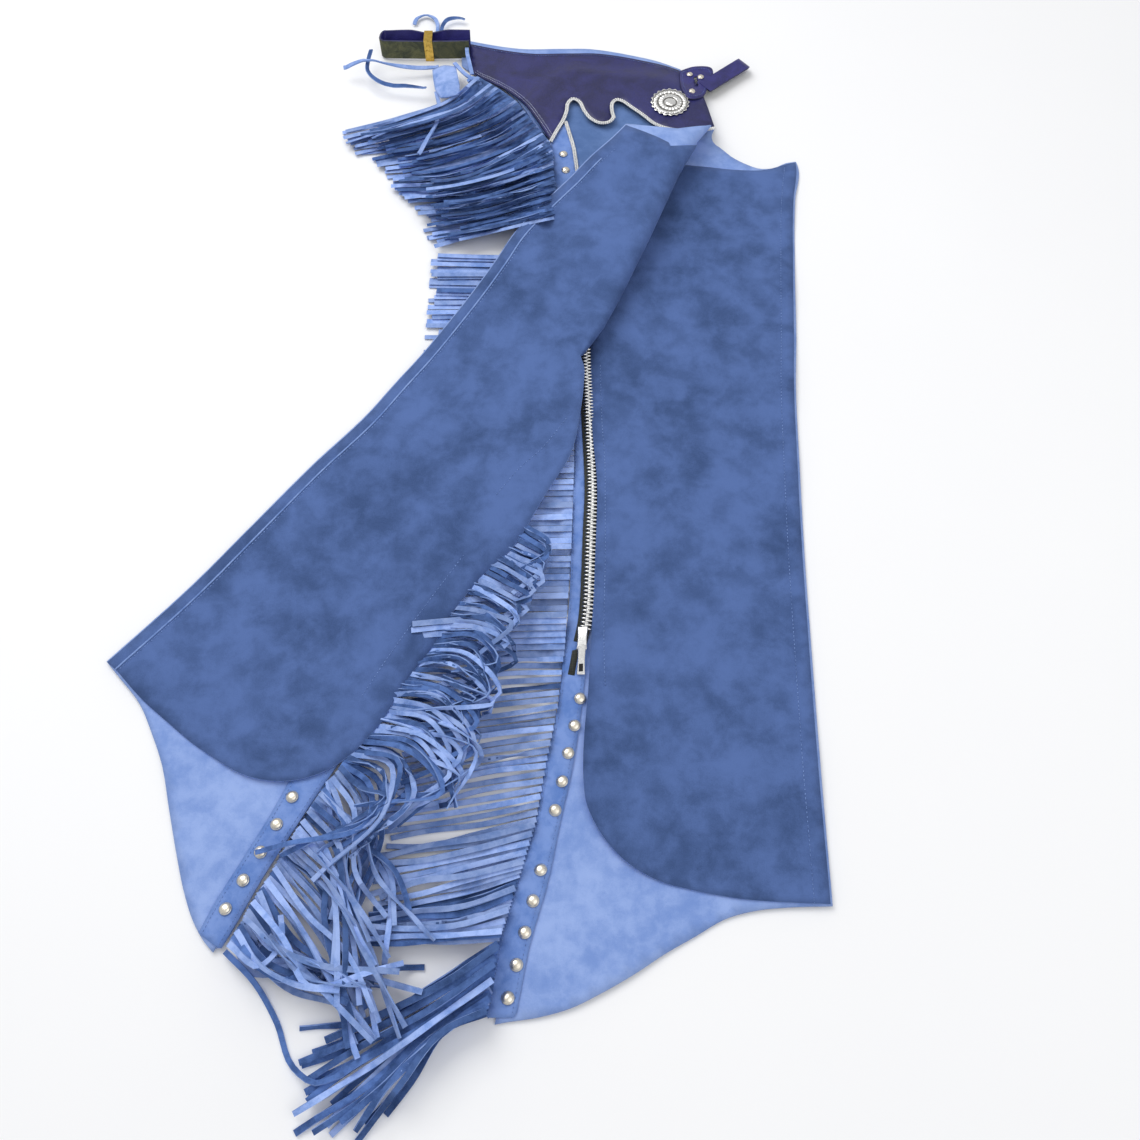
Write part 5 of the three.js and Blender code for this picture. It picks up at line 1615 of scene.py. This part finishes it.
def ways_of(path: Array) -> tuple[Array, Array]:
    """The unit ways along a path and level across it.

    Args:
        path: Points in three dimensions.

    Returns:
        Rows of ways along, and rows of ways across.
    """
    way = np.gradient(path, axis=0)
    way /= np.linalg.norm(way, axis=1)[:, None]
    level = np.cross(np.tile((0.0, 0.0, 1.0), (len(path), 1)), way)
    return way, level / np.linalg.norm(level, axis=1)[:, None]


@dataclass
class Straps(Maker):
    """The back strap in its brass keeper, the front strap on its riveted tab, and the laces."""

    wall: float = 2.3
    hole: float = 2.1
    lace_width: float = 4.4
    lace_wall: float = 1.6

    def build(self) -> None:
        """Builds every strap and lace."""
        self.back_strap()
        self.front_strap()
        self.laces()
        self.wraps()
        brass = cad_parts["strap_keeper"]
        brass.data.materials.clear()
        brass.data.materials.append(self.shop[Finish.BRASS])

    def back_strap(self) -> None:
        """The strap stands on its edge, doubled back on itself with its flesh side out."""
        at = STRAP_AT
        middle, radius = (at["near"] + at["far"]) / 2, (at["far"] - at["near"]) / 2
        near = [(x, at["near"] + 0.9 * math.sin((x + 119) / 31))
                for x in np.arange(at["right"], at["left"], -5)]
        bend = [(at["left"] - 1.12 * radius * math.sin(a), middle - radius * math.cos(a))
                for a in np.linspace(0, math.pi, 11)[1:-1]]
        far = [(x, at["far"] - 0.8 * math.sin((x + 119) / 27))
               for x in np.arange(at["left"], at["right"] + 1, 5)]
        plan = np.array(near + bend + far)
        level = (at["low"] + at["high"]) / 2
        path = np.column_stack([plan, np.full(len(plan), level)])
        by_keeper = np.clip(np.abs(plan[:, 0] + 168.4) / 22, 0.12, 1)
        far_run = np.clip((plan[:, 1] - middle) / radius, 0, 1)
        lean = np.radians(24) * by_keeper * far_run
        path[:, 1] += 10 * np.sin(lean)
        across = np.column_stack([0 * lean, np.sin(lean), np.cos(lean)])
        shape = Shape()
        shape.band(swept(path, across, at["high"] - at["low"], self.wall), [0, 2, 1, 2])
        skins = self.shop.skins(Finish.STRAP_FLESH, Finish.STRAP, Finish.CUT_COWHIDE)
        piece = shape.piece("back_strap_hide", self.bed, skins, smooth=50, outwards=True)
        bevelled(piece, 0.5)
        keep(piece, "strap_leather", "back_strap")
        # painted shadow: a near-black disc on the strap's far face stands for the shade inside each punched
        # hole
        holes = Shape()
        for x, z in STRAP_HOLES:
            ring = [(x + self.hole * math.cos(a), at["far"] - 2.5, z + self.hole * math.sin(a))
                    for a in np.linspace(0, math.tau, 17)[:-1]]
            holes.add(np.array(ring), [tuple(range(16))])
        piece = holes.piece("back_strap_hole_shadows", self.bed, [self.shop[Finish.HOLE]])
        keep(piece, "strap_leather")

    def front_strap(self) -> None:
        """The strap lies flat, doubled back over itself, from a tab riveted to the yoke."""
        at = FRONT_STRAP_AT
        turn = math.radians(at["turn"])
        way, side = np.array((math.cos(turn), math.sin(turn))), np.array((-math.sin(turn), math.cos(turn)))
        radius = (at["high"] - at["low"]) / 2
        rows = [(d, at["high"] + 0.4 * math.sin(d / 9)) for d in np.arange(0, at["length"], 4)]
        rows += [(at["length"] + radius * math.sin(a), at["low"] + radius + radius * math.cos(a))
                 for a in np.linspace(0, math.pi, 9)]
        rows += [(d, at["low"]) for d in np.arange(at["length"] - 4, 24, -4)]
        path = towards_eye(np.array([(*(np.array(at["root"]) + way * d), z) for d, z in rows]))
        across = np.tile((*side, 0.0), (len(path), 1))
        shape = Shape()
        shape.band(swept(path, across, at["width"], self.wall - 0.3), [1, 2, 0, 2])
        skins = self.shop.skins(Finish.STRAP, Finish.STRAP_FLESH, Finish.CUT_COWHIDE)
        piece = shape.piece("front_strap_hide", self.bed, skins, smooth=50, outwards=True)
        bevelled(piece, 0.4)
        keep(piece, "strap_leather", "front_strap")

        ring = outline([*FRONT_TAB, FRONT_TAB[0]], step=3.0)
        flat, faces = filled(ring, 4.0)
        slot = np.array(TAB_SLOT, float)
        keepers = [face for face in faces if not within(flat[list(face)].mean(axis=0)[None], slot)[0]]
        tab = Shape()
        tab.add(on(self.bed, self.layers.yoke, flat, 2.4), keepers)
        skins = self.shop.skins(Finish.STRAP, Finish.STRAP_FLESH, Finish.CUT_COWHIDE)
        piece = tab.piece("front_tab_hide", self.bed, skins)
        walled(piece, 2.0)
        keep(piece, "strap_leather", "front_tab")
        inner = spline([*FRONT_TAB, FRONT_TAB[0]], 3.0)
        middle = inner.mean(axis=0)
        line = middle + (inner - middle) * 0.84
        self.sewing.sew("front_tab_seam", [on(self.bed, self.layers.yoke, line, 2.6)], Finish.THREAD_BLUE,
                        "strap_leather", *TAB_STITCH)

    def heights_on(self, node: str, flat: Array) -> Array:
        """The middle height of a node's solid along a line.

        Args:
            node: The node.
            flat: The line's points on the floor.

        Returns:
            A height for each point, between its neighbours' where the solid has none.
        """
        tree = solid_of(node)
        spots = self.bed.place(np.column_stack([flat, np.zeros(len(flat))]))
        found = []
        for spot in spots:
            ends = [tree.ray_cast(Vector((spot[0], spot[1], z)), Vector((0, 0, -z)))[0] for z in (0.3, -0.3)]
            found.append(sum(e.z for e in ends) / 2 / MM if all(e is not None for e in ends) else np.nan)
        found = np.array(found)
        known = ~np.isnan(found)
        steps = np.arange(len(found))
        return np.interp(steps, steps[known], found[known])

    def laces(self) -> None:
        """The cut suede laces, each a free cord."""
        for name, rows in LACES.items():
            flat = spline(np.array(rows) + np.array(YOKE_CORNER), 3.5)
            height = self.heights_on(name, flat)
            path = np.column_stack([flat, height])
            s = shares(path)
            way, level = ways_of(path)
            turn = 0.5 * np.sin(math.tau * s * 1.3 + len(name))
            across = level * np.cos(turn)[:, None] + np.cross(way, level) * np.sin(turn)[:, None]
            shape = Shape()
            shape.band(swept(path, across, self.lace_width, self.lace_wall), [1, 2, 0, 2])
            faces = (Finish.STRAND_NAP, Finish.STRAND_FLESH) if name in ("lace_dark", "lace_long") else (
                Finish.STRAND_FLESH, Finish.STRAND_NAP)
            piece = shape.piece(name + "_suede", self.bed, self.shop.skins(*faces, Finish.RAW_EDGE),
                                smooth=50, outwards=True)
            keep(piece, "lace_suede", name)
            points = self.bed.place(path)

    def wraps(self) -> None:
        """The laces bound round the yoke's end, their knot, and the curled flap below it."""
        shape = Shape()
        for rows in WRAPS:
            path = towards_eye(spline(rows, 3.0))
            level = ways_of(path)[1]
            shape.band(swept(path, level, self.lace_width, self.lace_wall), [1, 2, 0, 2])
        skins = self.shop.skins(Finish.STRAND_FLESH, Finish.STRAND_NAP, Finish.RAW_EDGE)
        keep(shape.piece("yoke_end_lacing", self.bed, skins, smooth=50, outwards=True), "lace_suede")
        flap = Shape()
        lines = [spline(row, 1.0) for row in FLAP]
        rows = np.array([line[np.linspace(0, len(line) - 1, 12).astype(int)] for line in lines])
        steps = np.linspace(0, 3, 16)
        fine = np.array([[np.array([np.interp(t, range(4), rows[:, j, k]) for k in range(3)])
                          for j in range(rows.shape[1])] for t in steps])
        flap.grid(towards_eye(fine))
        piece = flap.piece("hip_flap", self.bed, skins)
        walled(piece, 1.4)
        keep(piece, "fringe_suede")


def bevelled(piece: Object, width: float) -> None:
    """Rounds a piece's sharp edges."""
    bevel = piece.modifiers.new("edge", "BEVEL")
    bevel.width = width * MM
    bevel.segments = 2
    bevel.limit_method = "ANGLE"
    bevel.harden_normals = False


def dome_tree(name: str) -> NodeTree:
    """A tree that sets one domed stud with a rolled rim at each point."""
    tree, given = group(name, "Radius", "Height", "Seed")
    dome = add(tree, "GeometryNodeMeshUVSphere", {"Segments": 20, "Rings": 10, "Radius": 0.86})
    low = add(tree, "GeometryNodeTransform",
              {0: dome.outputs[0], "Scale": (1, 1, 0.55), "Translation": (0, 0, 0.3)})
    rim = add(tree, "GeometryNodeMeshUVSphere", {"Segments": 20, "Rings": 8, "Radius": 1.0})
    flat = add(tree, "GeometryNodeTransform",
               {0: rim.outputs[0], "Scale": (1, 1, 0.3), "Translation": (0, 0, 0.2)})
    stud = add(tree, "GeometryNodeJoinGeometry")
    tree.links.new(low.outputs[0], stud.inputs[0])
    tree.links.new(flat.outputs[0], stud.inputs[0])
    lean = add(tree, "FunctionNodeRandomValue",
               {0: (-0.12, -0.12, 0), 1: (0.12, 0.12, 6.28), "Seed": given["Seed"]},
               data_type="FLOAT_VECTOR")
    size = add(tree, "ShaderNodeCombineXYZ", {0: given["Radius"], 1: given["Radius"], 2: given["Height"]})
    laid = add(tree, "GeometryNodeInstanceOnPoints",
               {"Points": given["Geometry"], "Instance": stud.outputs[0],
                "Rotation": lean.outputs[0], "Scale": size.outputs[0]})
    return ended(tree, given, laid)


def teeth_tree() -> NodeTree:
    """A tree that sets a zip's teeth along a line, from one side and the other by turns."""
    tree, given = group("zip_teeth_along_line", "Pitch", "Offset", "Reach", "Tooth", "Height")
    spaced, way = spaced_along(tree, given)
    index = add(tree, "GeometryNodeInputIndex").outputs[0]
    odd = add(tree, "ShaderNodeMath", {0: index, 1: 2.0}, operation="MODULO")
    sign = add(tree, "ShaderNodeMath", {0: odd.outputs[0], 1: 2.0, 2: -1.0}, operation="MULTIPLY_ADD")
    step = add(tree, "ShaderNodeMath", {0: sign.outputs[0], 1: given["Offset"]}, operation="MULTIPLY")
    across = add(tree, "ShaderNodeVectorMath", {0: way, 1: (0, 0, 1)}, operation="CROSS_PRODUCT")
    shift = add(tree, "ShaderNodeVectorMath", {0: across.outputs[0], "Scale": step.outputs[0]},
                operation="SCALE")
    moved = add(tree, "GeometryNodeSetPosition", {0: spaced.outputs[0], "Offset": shift.outputs[0]})
    turn = add(tree, "FunctionNodeAlignRotationToVector", {"Vector": way}, axis="Y")
    size = add(tree, "ShaderNodeCombineXYZ", {0: given["Reach"], 1: given["Tooth"], 2: given["Height"]})
    block = add(tree, "GeometryNodeMeshUVSphere", {"Segments": 8, "Rings": 5, "Radius": 0.56})
    laid = add(tree, "GeometryNodeInstanceOnPoints",
               {"Points": moved.outputs[0], "Instance": block.outputs[0],
                "Rotation": turn.outputs[0], "Scale": size.outputs[0]})
    return ended(tree, given, laid)


ZIP_TAIL = [[(2, 404, 5.2), (8, 406, 5.4)], [(0, 392, 4.6), (6, 393, 4.9)], [(-2, 381, 4.4), (4, 380, 4.6)]]
# name, centre line, width, thickness and solid of the slider's body and of its pull
SLIDER = [("zip_slider_body", [(11.6, 427, 9.2), (11.2, 420, 9.6), (10.8, 412, 9.2), (10.4, 405, 8.4)],
           9.5, 3.4, "zip_slider"),
          ("zip_pull_tab", [(10.7, 410, 10.6), (10.3, 400, 9.4), (9.9, 390, 8.2), (9.6, 381, 7.2)],
           7.6, 1.6, "zip_pull")]
PULL_HOLE = [(7.9, 391.5, 9.35), (11.7, 391.8, 9.35), (11.5, 384.5, 8.55), (7.7, 384.2, 8.5)]
# share of the radius and height of the disc's face, from its middle round its rim to its back
CONCHO_PROFILE = [
    (0.001, 5.2), (0.1, 5.1), (0.2, 4.6), (0.27, 3.8), (0.3, 2.7), (0.34, 2.3), (0.38, 2.9), (0.44, 3.1),
    (0.5, 2.5), (0.6, 2.2), (0.7, 2.3), (0.76, 3.0), (0.82, 2.9), (0.87, 2.1), (0.94, 2.0), (0.985, 1.6),
    (1.0, 0.9), (0.985, 0.3), (0.001, 0.2)]


@dataclass
class Hardware(Maker):
    """The zip, the studs and rivets, and the concho."""

    band_lift: float = 2.0
    concho_radius: float = 22.3
    scallops: int = 20
    recesses: tuple = (4, 5, 9, 13)  # rings of the profile that keep their dark patina

    def build(self) -> None:
        """Builds every metal piece."""
        self.studs()
        self.zip()
        self.concho()

    def studs(self) -> None:
        """Sets a stud on every stud's solid."""
        tree = dome_tree("domed_studs")
        rows = [("leg_a_studs", "leg_a_stud_", self.layers.a_front, self.band_lift, 1.12),
                ("leg_b_studs", "leg_b_stud_", self.layers.b_high, self.band_lift - 0.2, 1.12),
                ("side_strip_studs", "side_strip_stud_", self.layers.strip, 0.1, 1.0),
                ("front_rivets", "front_rivet_", self.layers.yoke, 2.4, 1.0)]
        for name, prefix, field_, lift, grow in rows:
            nodes = sorted(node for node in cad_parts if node.startswith(prefix))
            boxes = [np.array(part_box(node)) / MM for node in nodes]
            flat = np.array([(low[:2] + high[:2]) / 2 - self.bed.shift for low, high in boxes])
            radius = float(np.mean([(high[0] - low[0]) / 2 for low, high in boxes])) * grow
            spots = on(self.bed, field_, flat, lift)
            values = {"Radius": radius * MM, "Height": radius * 0.8 * MM, "Seed": SEED,
                      "Material": self.shop[Finish.STUD]}
            keep(grown(name, self.bed, [spots], tree, values), "stud_metal", *nodes)

    def zip(self) -> None:
        """The tape, its teeth, the slider and its pull."""
        line = spline(ZIP_LINE, 4.0)
        height = self.bed.at(self.layers.a_front, line) + self.band_lift + 0.7
        path = np.column_stack([line, height])
        tape = Shape()
        left, right = aside(line, 8.0), aside(line, -4.4)
        edges = [np.column_stack([side, height]) for side in (left, line, right)]
        tape.grid(towards_eye(np.stack(edges, axis=1)))
        piece = tape.piece("zip_tape_woven", self.bed, [self.shop[Finish.TAPE]] * 3)
        walled(piece, 0.6)
        keep(piece, "zip_tape", "zip_tape")
        tail = Shape()
        tail.grid(towards_eye(np.array(ZIP_TAIL)))
        piece = tail.piece("zip_tape_tail", self.bed, [self.shop[Finish.TAPE]] * 3)
        walled(piece, 0.7)
        keep(piece, "zip_tape")
        path[:, 2] += 1.1
        path = towards_eye(path)
        values = {"Pitch": 2.0 * MM, "Offset": 1.7 * MM, "Reach": 7.4 * MM, "Tooth": 2.1 * MM,
                  "Height": 2.8 * MM, "Material": self.shop[Finish.ZIP]}
        keep(grown("zip_teeth_row", self.bed, [path[3:]], teeth_tree(), values), "zip_metal", "zip_teeth")
        self.slider()

    def slider(self) -> None:
        """The slider's body and the long pull with its hole."""
        for name, rows, wide, thick, node in SLIDER:
            path = towards_eye(spline(rows, 2.5))
            shape = Shape()
            across = np.tile((1.0, 0.0, 0.0), (len(path), 1))
            sections = swept(path, across, wide, thick)
            middle = sections.mean(axis=1, keepdims=True)
            taper = 1 - 0.16 * np.sin(math.pi * shares(path))[:, None, None]
            shape.band(middle + (sections - middle) * taper, [0, 0, 0, 0])
            piece = shape.piece(name, self.bed, [self.shop[Finish.ZIP]], smooth=40, outwards=True)
            bevelled(piece, 0.7)
            keep(piece, "zip_metal", node)
        # painted shadow: a near-black quad stands for the shade seen through the pull's hole
        hole = Shape()
        hole.add(towards_eye(np.array(PULL_HOLE)), [(0, 3, 2, 1)])
        keep(hole.piece("zip_pull_hole_shadow", self.bed, [self.shop[Finish.HOLE]]), "zip_metal")

    def concho(self) -> None:
        """The cast disc: scalloped rim, beaded ring, flutes and a dome."""
        angles = np.linspace(0, math.tau, self.scallops * 8 + 1)[:-1]
        wave = np.cos(angles * self.scallops)
        seat = float(self.bed.at(self.layers.yoke, np.array([CONCHO_PLACE]))[0]) + 0.2
        rows = []
        for share, height in CONCHO_PROFILE:
            edge = 1 + 0.045 * wave * max(0.0, (share - 0.8) / 0.2)
            flute = 0.35 * wave * (0.46 < share < 0.72)
            flute = flute + 0.3 * np.cos(angles * self.scallops * 2) * (0.74 < share < 0.84)
            radius = self.concho_radius * share * edge
            rows.append(np.column_stack([CONCHO_PLACE[0] + radius * np.cos(angles),
                                         CONCHO_PLACE[1] + radius * np.sin(angles), seat + height + flute]))
        shape = Shape()
        shape.grid(towards_eye(np.array(rows)), ring=True)
        across = len(angles)
        shape.skins = [int(i // across in self.recesses) for i in range(len(shape.faces))]
        skins = self.shop.skins(Finish.CONCHO, Finish.PATINA)
        piece = shape.piece("concho_disc", self.bed, skins, merge=0.05, smooth=60, outwards=True)
        keep(piece, "concho_metal", "concho")


class Studio:
    """A pale floor, soft lights, and the camera where the photograph was taken from."""

    EYE = (0.0, 0.0, EYE_HEIGHT)
    PITCH = 27.31
    LENS = 36.03
    SENSOR = 36.0
    FLOOR = 4000.0  # mm from its middle to its sides
    DROP = -0.2  # mm, so that no sheet lies in it
    TARGET = (0.0, 620.0, 0.0)

    def __init__(self, bed: Bed) -> None:
        """Keeps the frame."""
        self.bed = bed

    def build(self) -> None:
        """Sets the whole studio up."""
        scene = bpy.context.scene
        scene.view_settings.view_transform = "Standard"
        lens = bpy.data.cameras.new("camera")
        lens.lens = self.LENS
        lens.sensor_width = self.SENSOR
        lens.clip_start = 0.01
        camera = bpy.data.objects.new("camera", lens)
        camera.location = self.bed.place(np.array([self.EYE]))[0]
        camera.rotation_euler = (math.radians(self.PITCH), 0, 0)
        scene.collection.objects.link(camera)
        scene.camera = camera

        floor = Shape()
        far = self.FLOOR
        floor.add(np.array([(-far, -far, self.DROP), (far, -far, self.DROP), (far, far, self.DROP),
                            (-far, far, self.DROP)]), [(0, 1, 2, 3)])
        material, tree, shader, where = start(Finish.FLOOR)
        colour = blend(tree, noise(tree, where, 400), linear("#F4F4F5"), linear("#F8F8F8"))
        wire(tree, shader, {"Base Color": colour, "Roughness": 0.9})
        floor.piece("floor", self.bed, [material])

        world = bpy.data.worlds.new("soft_white")
        world.use_nodes = True
        sky = world.node_tree.nodes["Background"]
        wire(world.node_tree, sky, {"Color": (0.97, 0.98, 1.0, 1), "Strength": 0.62})
        scene.world = world
        self.lamp("key", (-900, 1500, 1900), 1.6, 26.0)
        self.lamp("fill", (900, -200, 1800), 1.8, 9.0)

    def lamp(self, name: str, spot: tuple[float, float, float], size: float, power: float) -> None:
        """Hangs a square lamp that looks at the middle of the chaps.

        Args:
            name: Its name.
            spot: Where it hangs.
            size: Its side in metres.
            power: In watts.
        """
        light = bpy.data.lights.new(name, "AREA")
        light.size = size
        light.energy = power
        lamp = bpy.data.objects.new(name, light)
        place = Vector(self.bed.place(np.array([spot]))[0])
        target = Vector(self.bed.place(np.array([self.TARGET]))[0])
        lamp.location = place
        lamp.rotation_euler = (target - place).to_track_quat("-Z", "Y").to_euler()
        bpy.context.scene.collection.objects.link(lamp)


def main() -> None:
    """Builds the chaps' looks in order."""
    bed = Bed()
    shop = Shop()
    Studio(bed).build()
    layers = Layers(bed)
    sewing = Stitching(bed, shop)
    for maker in (LegA, LegB, Yoke, Fringing, Straps, Hardware):
        maker(bed, layers, shop, sewing).build()


if __name__ == "__main__":
    main()
